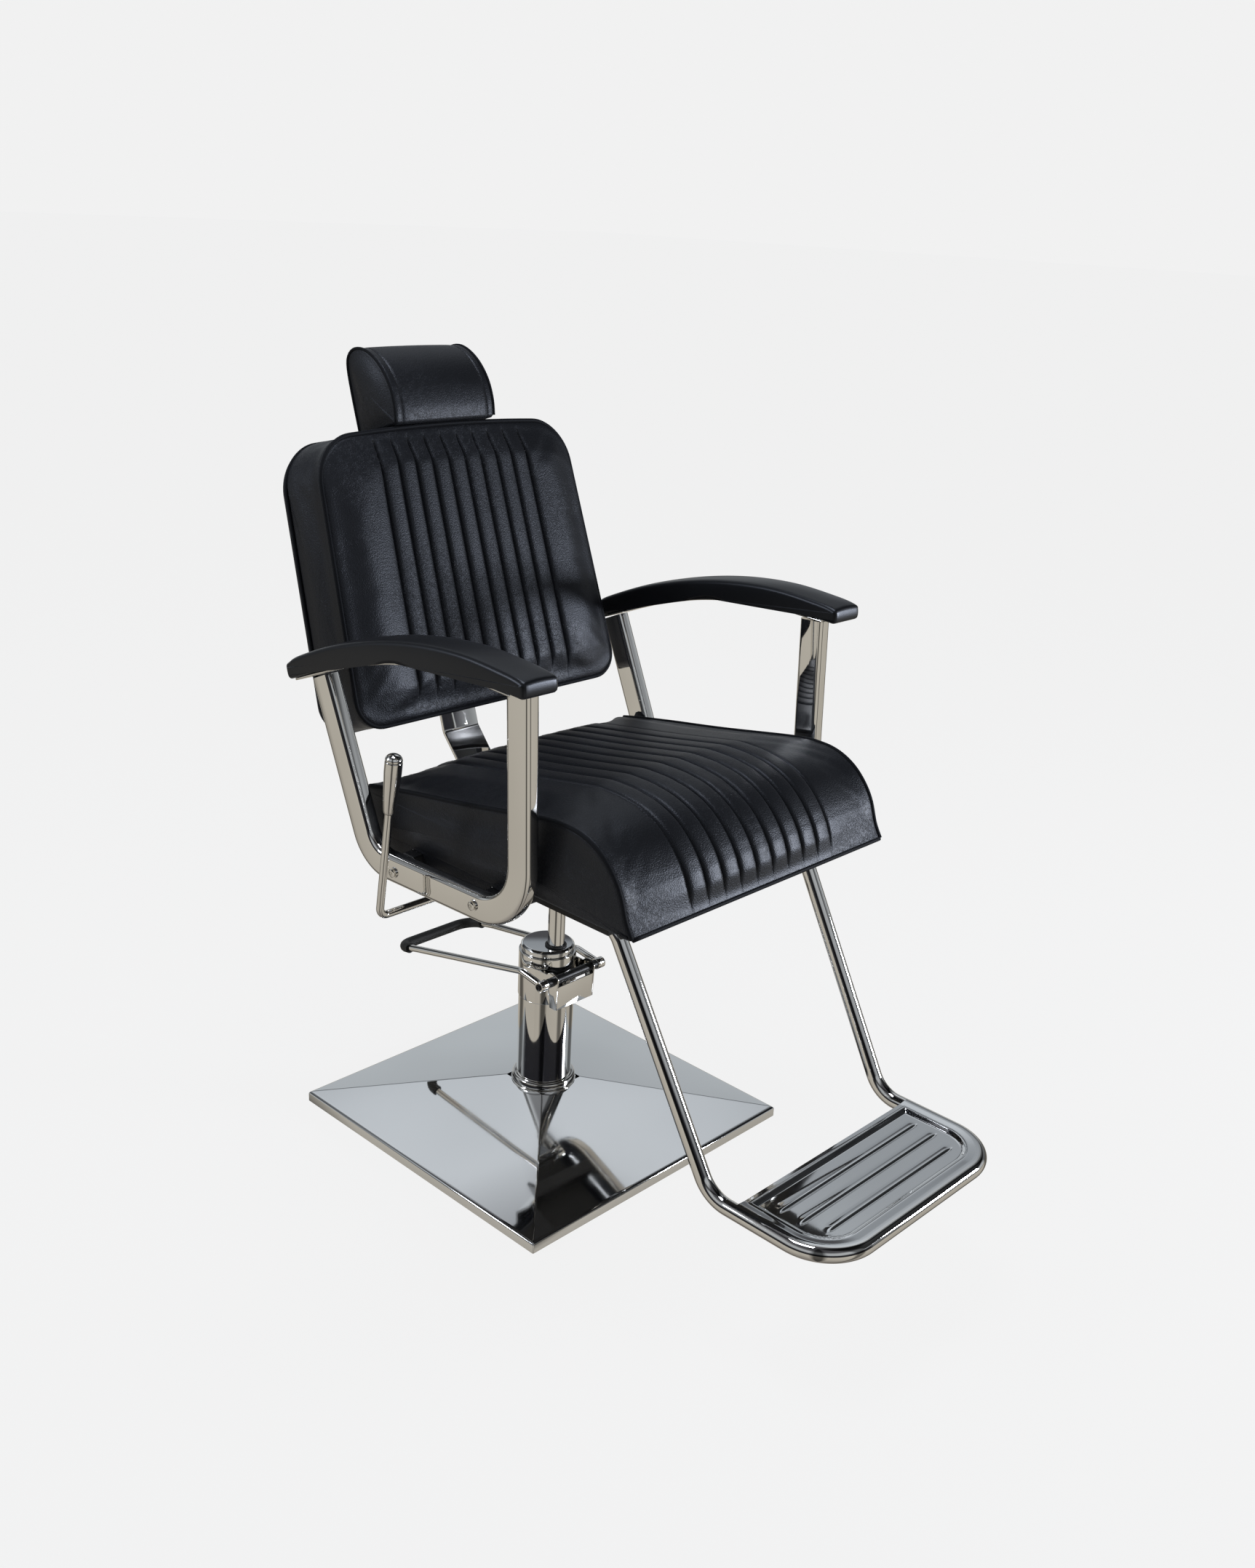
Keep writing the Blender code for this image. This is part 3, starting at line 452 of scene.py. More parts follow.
def sweep(name, path, section, finish, side=None, closed=False, sharp=None):
    """A section of (across, up) offsets carried along a path of 3D points, capped at its ends."""
    path = [Vector(p) for p in path]
    count = len(path)
    tangents = []
    for i in range(count):
        a = path[(i - 1) % count] if closed else path[max(i - 1, 0)]
        b = path[(i + 1) % count] if closed else path[min(i + 1, count - 1)]
        tangents.append((b - a).normalized())
    across = Vector(side) if side else tangents[0].orthogonal().normalized()
    verts = []
    for i, (at, tangent) in enumerate(zip(path, tangents)):
        if i:
            across = tangents[i - 1].rotation_difference(tangent) @ across
        across = (across - tangent * across.dot(tangent)).normalized()
        up = tangent.cross(across)
        for s, t in section:
            verts.append(at + across * s + up * t)
    faces = grid_faces(count, len(section), wrap_rows=closed, wrap_columns=True)
    if not closed:
        faces += [tuple(range(len(section))), tuple((count - 1) * len(section) + i for i in range(len(section)))]
    return new_piece(name, verts, faces, finish, sharp)


def circle(radius, sides=32):
    return [(radius * cos(2 * pi * k / sides), radius * sin(2 * pi * k / sides)) for k in range(sides)]


def rounded_section(wide, deep, corner, steps=6):
    section = []
    for sx, sy in ((1, 1), (-1, 1), (-1, -1), (1, -1)):
        start = atan2(sy, sx) - pi / 4
        for k in range(steps + 1):
            turn = start + k * pi / 2 / steps
            section.append((sx * (wide / 2 - corner) + corner * cos(turn),
                            sy * (deep / 2 - corner) + corner * sin(turn)))
    return section


def lathe(name, profile, finish, frame_to=Matrix.Identity(4), steps=96, closed=False, sharp=40):
    """A profile of (radius, height) turned about its own axis, then put in place."""
    verts = []
    for k in range(steps):
        turn = 2 * pi * k / steps
        verts += [frame_to @ Vector((r * cos(turn), r * sin(turn), z)) for r, z in profile]
    faces = grid_faces(steps, len(profile), wrap_rows=True, wrap_columns=closed)
    return new_piece(name, verts, faces, finish, sharp)


def bevel_profile(points, radius, steps=4):
    """A lathe profile whose inner corners are rounded."""
    out = [points[0]]
    for before, here, after in zip(points, points[1:], points[2:]):
        b, h, a = Vector(before), Vector(here), Vector(after)
        to_b, to_a = (b - h), (a - h)
        reach = min(radius, to_b.length * 0.45, to_a.length * 0.45)
        start, end = h + to_b.normalized() * reach, h + to_a.normalized() * reach
        for k in range(steps + 1):
            t = k / steps
            out.append(tuple((1 - t) ** 2 * start + 2 * t * (1 - t) * h + t * t * end))
    out.append(points[-1])
    return out


def slab(name, outline, low, high, finish, bevel, to_world, segments=4, sharp=35):
    """A flat outline made thick from low to high along local z, its edges rounded, then put in place."""
    shape = bmesh.new()
    bottom = [shape.verts.new((x, y, low)) for x, y in outline]
    top = [shape.verts.new((x, y, high)) for x, y in outline]
    shape.faces.new(bottom)
    shape.faces.new(top)
    for i in range(len(outline)):
        k = (i + 1) % len(outline)
        shape.faces.new((bottom[i], bottom[k], top[k], top[i]))
    bmesh.ops.recalc_face_normals(shape, faces=shape.faces)
    if bevel:
        edges = [e for e in shape.edges if e.calc_face_angle(0) > radians(30)]
        bmesh.ops.bevel(shape, geom=edges, offset=bevel, segments=segments, profile=0.5, affect="EDGES",
                        clamp_overlap=True)
    bmesh.ops.transform(shape, matrix=to_world, verts=shape.verts)
    bmesh.ops.recalc_face_normals(shape, faces=shape.faces)
    return piece_from(name, shape, finish, sharp)


YZ_PLANE = Matrix(((0, 0, 1, 0), (1, 0, 0, 0), (0, 1, 0, 0), (0, 0, 0, 1)))


def back_to_world(points):
    points = np.array(points)
    x, w, u = points[:, 0], points[:, 1], points[:, 2]
    return np.column_stack([x, BACK_Y + u * sin(BACK_TILT) + w * cos(BACK_TILT),
                            BACK_Z + u * cos(BACK_TILT) - w * sin(BACK_TILT)])


def back_point(x, w, u):
    """A point of the back: x across, w rearwards from its front face, u up along it."""
    return Vector(back_to_world([(x, w, u)])[0])


def axis_frame(at, direction):
    """A matrix that puts local z along direction, with its origin at the point."""
    return Matrix.Translation(at) @ Vector(direction).to_track_quat("Z", "Y").to_matrix().to_4x4()


def seat_in(body, slot_name, obj, *nodes):
    """Sends a finished piece to its body, in place of the CAD nodes that it stands for. Its slot name is not used."""
    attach(obj, body)
    if nodes:
        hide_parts(*nodes)
    return obj


# ---------------------------------------------------------------- stuffing

def swell(rest_verts, faces, voxel, cap, frames=16, pressure=4.0, hold=None):
    """How a stuffed form of this outside moves when it is filled: where its skin starts, and how far it goes."""
    data = bpy.data.meshes.new("filling")
    data.from_pydata([tuple(v) for v in rest_verts], [], faces)
    obj = linked("filling", data)
    scene = bpy.context.scene
    remesh = obj.modifiers.new("skin", "REMESH")
    remesh.mode = "VOXEL"
    remesh.voxel_size = voxel
    bpy.context.view_layer.update()
    skin = bpy.data.meshes.new_from_object(obj.evaluated_get(bpy.context.evaluated_depsgraph_get()))
    obj.modifiers.clear()
    obj.data = skin
    start = np.array([v.co for v in skin.vertices])
    cloth = obj.modifiers.new("stuffing", "CLOTH")
    cloth.settings.use_pressure = True
    cloth.settings.uniform_pressure_force = pressure
    cloth.settings.effector_weights.gravity = 0
    cloth.settings.mass = 0.3
    cloth.settings.tension_stiffness = 15
    cloth.settings.compression_stiffness = 15
    cloth.settings.bending_stiffness = 0.8
    if hold is not None:
        held = obj.vertex_groups.new(name="held")
        for i, co in enumerate(start):
            weight = hold(co)
            if weight > 0:
                held.add([i], weight, "REPLACE")
        cloth.settings.vertex_group_mass = "held"
    cloth.point_cache.frame_start = 1
    cloth.point_cache.frame_end = frames
    for step in range(1, frames + 1):
        scene.frame_set(step)
    done = obj.evaluated_get(bpy.context.evaluated_depsgraph_get()).to_mesh()
    move = np.array([v.co for v in done.vertices]) - start
    obj.modifiers.clear()
    scene.frame_set(1)
    bpy.data.objects.remove(obj, do_unlink=True)
    length = np.linalg.norm(move, axis=1)
    move *= (np.minimum(length, cap) / np.maximum(length, 1e-9))[:, None]
    return start, move


def nearest(points):
    tree = KDTree(len(points))
    for i, co in enumerate(points):
        tree.insert(co, i)
    tree.balance()
    return tree


def carry(points, start, move, near=6):
    """The swelling at each of the points, from the nearest points of the skin."""
    tree = nearest(start)
    carried = np.zeros_like(points)
    for i, point in enumerate(points):
        found = tree.find_n(point, near)
        weights = np.array([1 / (d + 0.002) ** 2 for _, _, d in found])
        carried[i] = (move[[k for _, k, _ in found]] * weights[:, None]).sum(0) / weights.sum()
    return carried


def held_by(points, seams, reach=0.030):
    """0 on the sewn lines that hold a cover's shape, rising to 1 away from them."""
    tree = nearest(seams)
    far = np.array([min(tree.find(point)[2] / reach, 1.0) for point in points])
    return ease(far)[:, None]


def channel_relief(x, seams, depth, puff, width=0.0022):
    """How high a sewn panel stands at x: full between the seams and pulled down at each."""
    lines = np.array(both_ways(seams))
    relief = np.zeros_like(x)
    for line in lines:
        relief -= depth * np.exp(-np.abs((x - line) / width) ** 1.3)
    for a, b in zip(lines, lines[1:]):
        inside = (x > a) & (x < b)
        t = np.where(inside, (x - a) / (b - a), 0)
        relief += np.where(inside, puff * np.sqrt(np.clip(4 * t * (1 - t), 0, 1)), 0)
    return relief


def seam_stations(half, seams, edge_steps, coarse=0.0045):
    """Places across a panel, close together at its seams and edges."""
    places = set(np.round(np.arange(-half, half + 1e-6, coarse), 5))
    for seam in list(seams) + [-s for s in seams]:
        for step in (0, 0.0008, 0.0016, 0.0026, 0.0040, 0.0062):
            places |= {round(seam + step, 5), round(seam - step, 5)}
    kept = []
    for place in sorted(p for p in places if abs(p) < edge_steps[0]):
        if not kept or place - kept[-1] > 0.0006:
            kept.append(place)
    return np.array([-e for e in edge_steps[::-1]] + kept + list(edge_steps))


def loaf(rings, cap_rings=10, dome=0.0):
    """Verts and faces of a closed body from rings side by side, its two ends filled towards their middles."""
    rings = np.array(rings)
    count, around = rings.shape[:2]
    verts = [tuple(v) for v in rings.reshape(-1, 3)]
    faces = grid_faces(count, around, wrap_columns=True)
    for first, ring_at in ((0, rings[0]), ((count - 1) * around, rings[-1])):
        middle = ring_at.mean(0)
        sign = 1 if first else -1
        previous = list(range(first, first + around))
        for k in range(1, cap_rings):
            t = k / cap_rings
            lifted = middle + (ring_at - middle) * (1 - t)
            lifted[:, 0] += sign * dome * (1 - (1 - t) ** 2.5)
            base = len(verts)
            verts += [tuple(v) for v in lifted]
            current = list(range(base, base + around))
            faces += ring_quads(previous, current)
            previous = current
        tip = len(verts)
        verts.append((middle[0] + sign * dome, middle[1], middle[2]))
        for j in range(around):
            faces.append((previous[j], previous[(j + 1) % around], tip))
    return np.array(verts), faces


# ---------------------------------------------------------------- seat

def seat_outline(spacing, drop=0.0):
    top = smooth_line(SEAT_TOP, spacing)
    front_low = BOARD_TOP + 0.0008
    bottom = even_line([(0.1245, 0.566), (0.1245, 0.5235), (0.1215, 0.5187), (-0.150, 0.5187), (-0.215, front_low),
                        (-0.4085, front_low), (-0.4130, 0.5325)], max(spacing, 0.006))
    outline = np.vstack([top, bottom[1:]])
    facing = outward(outline)
    mask = np.zeros(len(outline))
    along = np.linspace(0, 1, len(top))
    mask[:len(top)] = np.clip(along / 0.06, 0, 1) * np.clip((1 - along) / 0.07, 0, 1)
    return outline - facing * drop, facing, ease(mask)


def edge_steps(half, corner, steps=7):
    """Where the last stations of a rounded edge stand, and how far each is drawn in."""
    turns = [pi / 2 * k / steps for k in range(steps + 1)]
    return [half - corner + corner * sin(t) for t in turns], [corner * (1 - cos(t)) for t in turns]


def build_seat():
    corner = 0.008
    ends, drawn = edge_steps(SEAT_HALF, corner)
    outline, facing, mask = seat_outline(0.0036)
    stations = seam_stations(SEAT_HALF, SEAT_SEAMS, ends)
    edge = {round(e, 6): d for e, d in zip(ends, drawn)}
    insets = [edge.get(round(abs(x), 6), 0.0) for x in stations]
    verts, faces = loaf(rings_across(stations, insets, outline, facing), dome=0.004)
    thin, thin_facing, _ = seat_outline(0.014, 0.004)
    coarse = np.linspace(-SEAT_HALF + 0.004, SEAT_HALF - 0.004, 34)
    rough, rough_faces = loaf(rings_across(coarse, coarse * 0, thin, thin_facing), cap_rings=6)
    start, move = swell(rough, rough_faces, 0.0075, 0.024,
                        hold=lambda co: 1.0 if co[2] < BOARD_TOP + 0.012 else 0.0)
    sewn = [(side * SEAT_HALF, *point) for side in (-1, 1) for point in outline]
    verts += carry(verts, start, move) * CLOTH_SHARE * held_by(verts, sewn)
    crown = 0.008
    count = len(outline)
    wanted = channel_relief(stations, SEAT_SEAMS, 0.0036, 0.0020)
    for i, x in enumerate(stations):
        rise = wanted[i] + crown * (1 - (x / SEAT_HALF) ** 2)
        block = verts[i * count:(i + 1) * count]
        block[:, 1:] += facing * (mask * rise)[:, None]
    cushion = new_piece("seat_cover", verts, faces, VINYL)
    seat_in("seat", "vinyl", cushion, "seat_cushion")
    return surface_of(cushion)


def build_seat_skirt():
    """The cover's lower edge, hanging past the board on each side and cut out round the beams."""
    teeth = [point for start, end in SKIRT_RUNS for point in
             ((start, SKIRT_NOTCH), (start, SKIRT_LOW), (end, SKIRT_LOW), (end, SKIRT_NOTCH))]
    comb = [(teeth[0][0], SKIRT_TOP)] + teeth[1:-1] + [(teeth[-1][0], SKIRT_TOP)]
    for side, sign in SIDES:
        low, high = sorted((sign * (SEAT_HALF - 0.0034), sign * (SEAT_HALF - 0.0010)))
        seat_in("seat", "vinyl", slab(f"seat_skirt_{side}", comb, low, high, VINYL, 0.0006, YZ_PLANE, 3, 15))


def surface_of(obj):
    shape = bmesh.new()
    shape.from_mesh(obj.data)
    tree = BVHTree.FromBMesh(shape)
    shape.free()
    return tree


def laid_on(tree, points, lift, towards):
    """The points brought onto a surface along a direction, then lifted off it."""
    out = []
    for point in points:
        direction = Vector(towards(point) if callable(towards) else towards).normalized()
        hit, normal, _, _ = tree.ray_cast(Vector(point) - direction * 0.05, direction)
        out.append(hit + normal * lift if hit is not None else Vector(point))
    return out


# ---------------------------------------------------------------- stitches and fasteners

def geometry_tree(name, numbers):
    """An empty tree that takes numbers and a material: the tree, what it is given, and its sockets."""
    tree = bpy.data.node_groups.new(name, "GeometryNodeTree")
    for in_out in ("INPUT", "OUTPUT"):
        tree.interface.new_socket(name="Geometry", in_out=in_out, socket_type="NodeSocketGeometry")
    sockets = {}
    for key, value in numbers.items():
        socket = tree.interface.new_socket(name=key, in_out="INPUT", socket_type="NodeSocketFloat")
        socket.default_value = value
        sockets[key] = socket.identifier
    material = tree.interface.new_socket(name="Material", in_out="INPUT", socket_type="NodeSocketMaterial")
    sockets["Material"] = material.identifier
    return tree, tree.nodes.new("NodeGroupInput").outputs, sockets


def end_tree(tree, given, geometry):
    painted = add_node(tree, "GeometryNodeSetMaterial", links={"Geometry": geometry, "Material": given["Material"]})
    tree.links.new(painted.outputs["Geometry"], tree.nodes.new("NodeGroupOutput").inputs["Geometry"])


def build_stitch_tree():
    """Short threads laid end to end along every line of the piece."""
    tree, given, sockets = geometry_tree("stitch_run", {"Pitch": 0.005, "Thread": 0.0005, "Length": 0.0034})
    lines = add_node(tree, "GeometryNodeMeshToCurve", links={"Mesh": given["Geometry"]})
    points = add_node(tree, "GeometryNodeCurveToPoints", {"mode": "LENGTH"},
                      {"Curve": lines.outputs["Curve"], "Length": given["Pitch"]})
    bead = add_node(tree, "GeometryNodeMeshUVSphere", values={"Segments": 7, "Rings": 5, "Radius": 1.0})
    half = math_node(tree, "MULTIPLY", given["Length"], 0.5)
    size = add_node(tree, "ShaderNodeCombineXYZ", links={"X": given["Thread"], "Y": given["Thread"], "Z": half})
    shaped = add_node(tree, "GeometryNodeTransform", links={"Geometry": bead.outputs["Mesh"],
                      "Scale": size.outputs["Vector"]})
    laid = add_node(tree, "GeometryNodeInstanceOnPoints", links={"Points": points.outputs["Points"],
                    "Instance": shaped.outputs["Geometry"], "Rotation": points.outputs["Rotation"]})
    solid = add_node(tree, "GeometryNodeRealizeInstances", links={"Geometry": laid.outputs["Instances"]})
    smooth = add_node(tree, "GeometryNodeSetShadeSmooth", links={"Geometry": solid.outputs["Geometry"]})
    end_tree(tree, given, smooth.outputs["Geometry"])
    return tree, sockets


def build_fastener_tree():
    """A button head with a hexagon socket at each point, square to that point's direction."""
    tree, given, sockets = geometry_tree("button_screw", {"Radius": 0.0078, "Height": 0.0042, "Socket": 0.0034})
    radius, height = given["Radius"], given["Height"]

    def share(size, part):
        return math_node(tree, "MULTIPLY", size, part)

    def solid_at(kind, sides, sizes, level):
        solid = add_node(tree, kind, values={"Vertices": sides}, links=sizes)
        at = add_node(tree, "ShaderNodeCombineXYZ", links={"Z": level})
        put = add_node(tree, "GeometryNodeTransform", links={"Geometry": solid.outputs["Mesh"],
                       "Translation": at.outputs["Vector"]})
        return put.outputs["Geometry"]

    union = add_node(tree, "GeometryNodeMeshBoolean", {"operation": "UNION"})
    low = solid_at("GeometryNodeMeshCylinder", 40, {"Radius": radius, "Depth": share(height, 0.45)},
                   share(height, 0.225))
    tree.links.new(low, union.inputs[1])
    for below, above, deep, level in ((1.0, 0.80, 0.35, 0.449), (0.80, 0.58, 0.20, 0.798)):
        cone = solid_at("GeometryNodeMeshCone", 40, {"Radius Bottom": share(radius, below) if below < 1 else radius,
                        "Radius Top": share(radius, above), "Depth": share(height, deep)}, share(height, level))
        tree.links.new(cone, union.inputs[1])
    hexagon = solid_at("GeometryNodeMeshCylinder", 6, {"Radius": given["Socket"], "Depth": height}, height)
    socketed = add_node(tree, "GeometryNodeMeshBoolean", {"operation": "DIFFERENCE"})
    tree.links.new(union.outputs["Mesh"], socketed.inputs[0])
    tree.links.new(hexagon, socketed.inputs[1])
    normal = add_node(tree, "GeometryNodeInputNamedAttribute", {"data_type": "FLOAT_VECTOR"}, values={"Name": "facing"})
    turned = add_node(tree, "FunctionNodeAlignRotationToVector", {"axis": "Z"},
                      {"Vector": normal.outputs["Attribute"]})
    laid = add_node(tree, "GeometryNodeInstanceOnPoints", links={"Points": given["Geometry"],
                    "Instance": socketed.outputs["Mesh"], "Rotation": turned.outputs["Rotation"]})
    solid = add_node(tree, "GeometryNodeRealizeInstances", links={"Geometry": laid.outputs["Instances"]})
    end_tree(tree, given, solid.outputs["Geometry"])
    return tree, sockets


STITCH_TREE, STITCH_SOCKETS = build_stitch_tree()
FASTENER_TREE, FASTENER_SOCKETS = build_fastener_tree()


def grown(name, carrier, tree, sockets, values, finish, sharp=None):
    """The plain mesh that a tree grows on a carrier mesh."""
    obj = linked(name, carrier)
    modifier = obj.modifiers.new("grown", "NODES")
    modifier.node_group = tree
    for key, value in values.items():
        modifier[sockets[key]] = value
    modifier[sockets["Material"]] = finish
    bpy.context.view_layer.update()
    data = bpy.data.meshes.new_from_object(obj.evaluated_get(bpy.context.evaluated_depsgraph_get()))
    data.name = name
    if sharp:
        data.shade_smooth()
        data.set_sharp_from_angle(angle=radians(sharp))
    obj.modifiers.clear()
    obj.data = data
    if not data.materials:
        data.materials.append(finish)
    return obj


def stitches(name, lines, body, pitch=0.0052, length=0.0036, thread=0.00055):
    carrier = bpy.data.meshes.new(name + "_lines")
    verts, edges = [], []
    for line in lines:
        base = len(verts)
        verts += [tuple(p) for p in line]
        edges += [(base + i, base + i + 1) for i in range(len(line) - 1)]
    carrier.from_pydata(verts, edges, [])
    obj = grown(name, carrier, STITCH_TREE, STITCH_SOCKETS, {"Pitch": pitch, "Length": length, "Thread": thread},
                THREAD)
    return seat_in(body, "vinyl", obj)


def fasteners(name, places, body, radius, height, socket, finish, slot_name, *nodes):
    carrier = bpy.data.meshes.new(name + "_points")
    carrier.from_pydata([tuple(at) for at, _ in places], [], [])
    facing = carrier.attributes.new("facing", "FLOAT_VECTOR", "POINT")
    facing.data.foreach_set("vector", [c for _, way in places for c in way])
    obj = grown(name, carrier, FASTENER_TREE, FASTENER_SOCKETS, {"Radius": radius, "Height": height, "Socket": socket},
                finish, sharp=28)
    return seat_in(body, slot_name, obj, *nodes)


# ---------------------------------------------------------------- seat seams

def build_seat_trim(skin):
    outline, facing, _ = seat_outline(0.006)
    reach = len(smooth_line(SEAT_TOP, 0.006))
    for side, sign in SIDES:
        x = sign * (SEAT_HALF - 0.0020)
        path = [(x, *(outline[i] - facing[i] * 0.0012)) for i in range(reach) if outline[i][0] < 0.108]
        seat_in("seat", "vinyl", sweep(f"seat_piping_{side}", path, circle(SEAT_PIPE, 16), PIPING))
    front = [(x, -0.4120, 0.5350) for x in np.linspace(-SEAT_HALF + 0.004, SEAT_HALF - 0.004, 40)]
    seat_in("seat", "vinyl", sweep("seat_piping_front", front, circle(SEAT_PIPE, 16), PIPING))
    lines = []
    for x in both_ways(SEAT_SEAMS):
        raw = [(x, *(outline[i] + facing[i] * 0.02)) for i in range(3, reach - 3)]
        ways = {round(p[1], 7): (0, -facing[i][0], -facing[i][1]) for p, i in zip(raw, range(3, reach - 3))}
        lines.append(laid_on(skin, raw, 0.0003, lambda p: ways[round(p[1], 7)]))
    stitches("seat_stitches", lines, "seat")


# ---------------------------------------------------------------- back

def back_half(u):
    return BACK_HALF_LOW + (BACK_HALF_TOP - BACK_HALF_LOW) * (u - BACK_BOTTOM) / (BACK_TOP - BACK_BOTTOM)


BACK_MID = (BACK_HALF_LOW + BACK_HALF_TOP) / 2
TOP_CORNER = 0.065
LOW_CORNER = 0.045


def back_ends(x):
    """The lowest and highest u of the back at a place across it, as its corners round off."""
    over_top = max(0.0, abs(x) - (BACK_MID - TOP_CORNER))
    over_low = max(0.0, abs(x) - (BACK_MID - LOW_CORNER))
    top = BACK_TOP - 0.010 * (abs(x) / BACK_MID) ** 2 \
        - (TOP_CORNER - sqrt(max(0.0, TOP_CORNER ** 2 - over_top ** 2)))
    low = BACK_BOTTOM + (LOW_CORNER - sqrt(max(0.0, LOW_CORNER ** 2 - over_low ** 2)))
    return low, top


def back_profile(spacing, thick):
    corners = [(0.0, 0.16), (0.0, BACK_TOP), (thick, BACK_TOP), (thick, BACK_BOTTOM), (0.0, BACK_BOTTOM), (0.0, 0.16)]
    path = [tuple(p) for p in arc_path(corners, [0.012, 0.004, 0.004, 0.012], radians(12))]
    return even_line(path, spacing)[:-1]


def back_rings(stations, insets, profile, facing):
    rings = []
    for x, inset in zip(stations, insets):
        low, top = back_ends(x)
        moved = profile - facing * inset
        w, u = moved[:, 0], low + (moved[:, 1] - BACK_BOTTOM) / (BACK_TOP - BACK_BOTTOM) * (top - low)
        across = x * np.array([back_half(v) for v in u]) / BACK_MID
        rings.append(np.column_stack([across, w, u]))
    return np.array(rings)


def back_stations(spacing, seams):
    turns = [pi / 2 * k / 14 for k in range(15)]
    ends = [BACK_MID - TOP_CORNER + TOP_CORNER * sin(t) for t in turns]
    if seams:
        return seam_stations(BACK_MID, seams, ends, spacing)
    inner = np.linspace(-BACK_MID + TOP_CORNER + 0.01, BACK_MID - TOP_CORNER - 0.01, round(2 * BACK_MID / spacing))
    ends = ends[::2]
    return np.concatenate([-np.array(ends[::-1]), inner, ends])


def back_insets(stations, corner):
    over = np.clip(np.abs(stations) - (BACK_MID - corner), 0, corner)
    return corner - np.sqrt(np.maximum(corner ** 2 - over ** 2, 0))


def build_back():
    thick = BACK_THICK - PANEL_THICK - GAP
    profile = back_profile(0.0040, thick)
    facing = outward(profile)
    stations = back_stations(0.0045, BACK_SEAMS)
    verts, faces = loaf(back_rings(stations, back_insets(stations, 0.010), profile, facing), dome=0.002)
    rough_profile = back_profile(0.014, thick)
    rough_facing = outward(rough_profile)
    coarse = back_stations(0.016, None)
    rough, rough_faces = loaf(back_rings(coarse, back_insets(coarse, 0.010) + 0.004, rough_profile,
                                         rough_facing), cap_rings=5)
    start, move = swell(rough, rough_faces, 0.0070, 0.022,
                        hold=lambda co: 1.0 if co[1] > thick - 0.016 else 0.0)
    loop = back_edge(0.0)
    edges = [(x, w, u) for w in (0.0, thick) for x, u in loop]
    verts += carry(verts, start, move) * CLOTH_SHARE * held_by(verts, edges)
    crown = 0.004
    count = len(profile)
    front = ease(np.clip((0.010 - profile[:, 0]) / 0.010, 0, 1))
    height = (profile[:, 1] - BACK_BOTTOM) / (BACK_TOP - BACK_BOTTOM)
    sewn = front * np.clip((height - 0.05) / 0.10, 0, 1) * np.clip((0.975 - height) / 0.03, 0, 1)
    lift = front * np.clip(height / 0.12, 0, 1) * np.clip((1 - height) / 0.12, 0, 1)
    panels = channel_relief(stations, BACK_SEAMS, 0.0045, 0.0026)
    outer = BACK_SEAMS[-1]
    t = np.clip((np.abs(stations) - outer) / (BACK_MID - outer), 0, 1)
    bolster = 0.006 * np.sqrt(np.clip(4 * t * (1 - t), 0, 1))
    for i, x in enumerate(stations):
        block = verts[i * count:(i + 1) * count]
        block[:, 1] -= sewn * panels[i] + lift * (bolster[i] + crown * (1 - (x / BACK_MID) ** 2))
    cushion = new_piece("back_cover", back_to_world(verts), faces, VINYL)
    seat_in("backrest", "vinyl", cushion, "back_cushion")
    return surface_of(cushion)


def back_edge(inset, spacing=0.006):
    """The loop (x, u) that runs round the back's front edge, drawn in a little."""
    places = np.concatenate([np.linspace(0, BACK_MID - TOP_CORNER, 40), [BACK_MID - TOP_CORNER + TOP_CORNER * sin(t)
                             for t in np.linspace(0.05, pi / 2, 26)]])
    top = [(x * back_half(back_ends(x)[1]) / BACK_MID, back_ends(x)[1]) for x in places]
    low = [(x * back_half(back_ends(x)[0]) / BACK_MID, back_ends(x)[0]) for x in places]
    right = top + low[::-1]
    loop = right + [(-x, u) for x, u in right[::-1][1:-1]]
    loop = even_line(loop + [loop[0]], spacing)[:-1]
    return loop - outward(loop) * inset


def build_back_trim(skin):
    ring_path = [back_point(x, 0.0028, u) for x, u in back_edge(0.0030)]
    seat_in("backrest", "vinyl", sweep("back_piping", ring_path, circle(0.0032, 16), PIPING, closed=True))
    rear_path = [back_point(x, BACK_THICK - PANEL_THICK - 0.0005, u) for x, u in back_edge(0.0006)]
    seat_in("backrest", "vinyl", sweep("back_rear_piping", rear_path, circle(0.0026, 14), PIPING, closed=True))
    lines = []
    forward = back_point(0, 1, 0) - back_point(0, 0, 0)
    heights = np.arange(BACK_BOTTOM + 0.055, BACK_TOP - 0.016, 0.006)
    for x in both_ways(BACK_SEAMS):
        raw = [back_point(x * back_half(u) / BACK_MID, -0.03, u) for u in heights]
        lines.append(laid_on(skin, raw, 0.0003, forward))
    stitches("back_stitches", lines, "backrest")


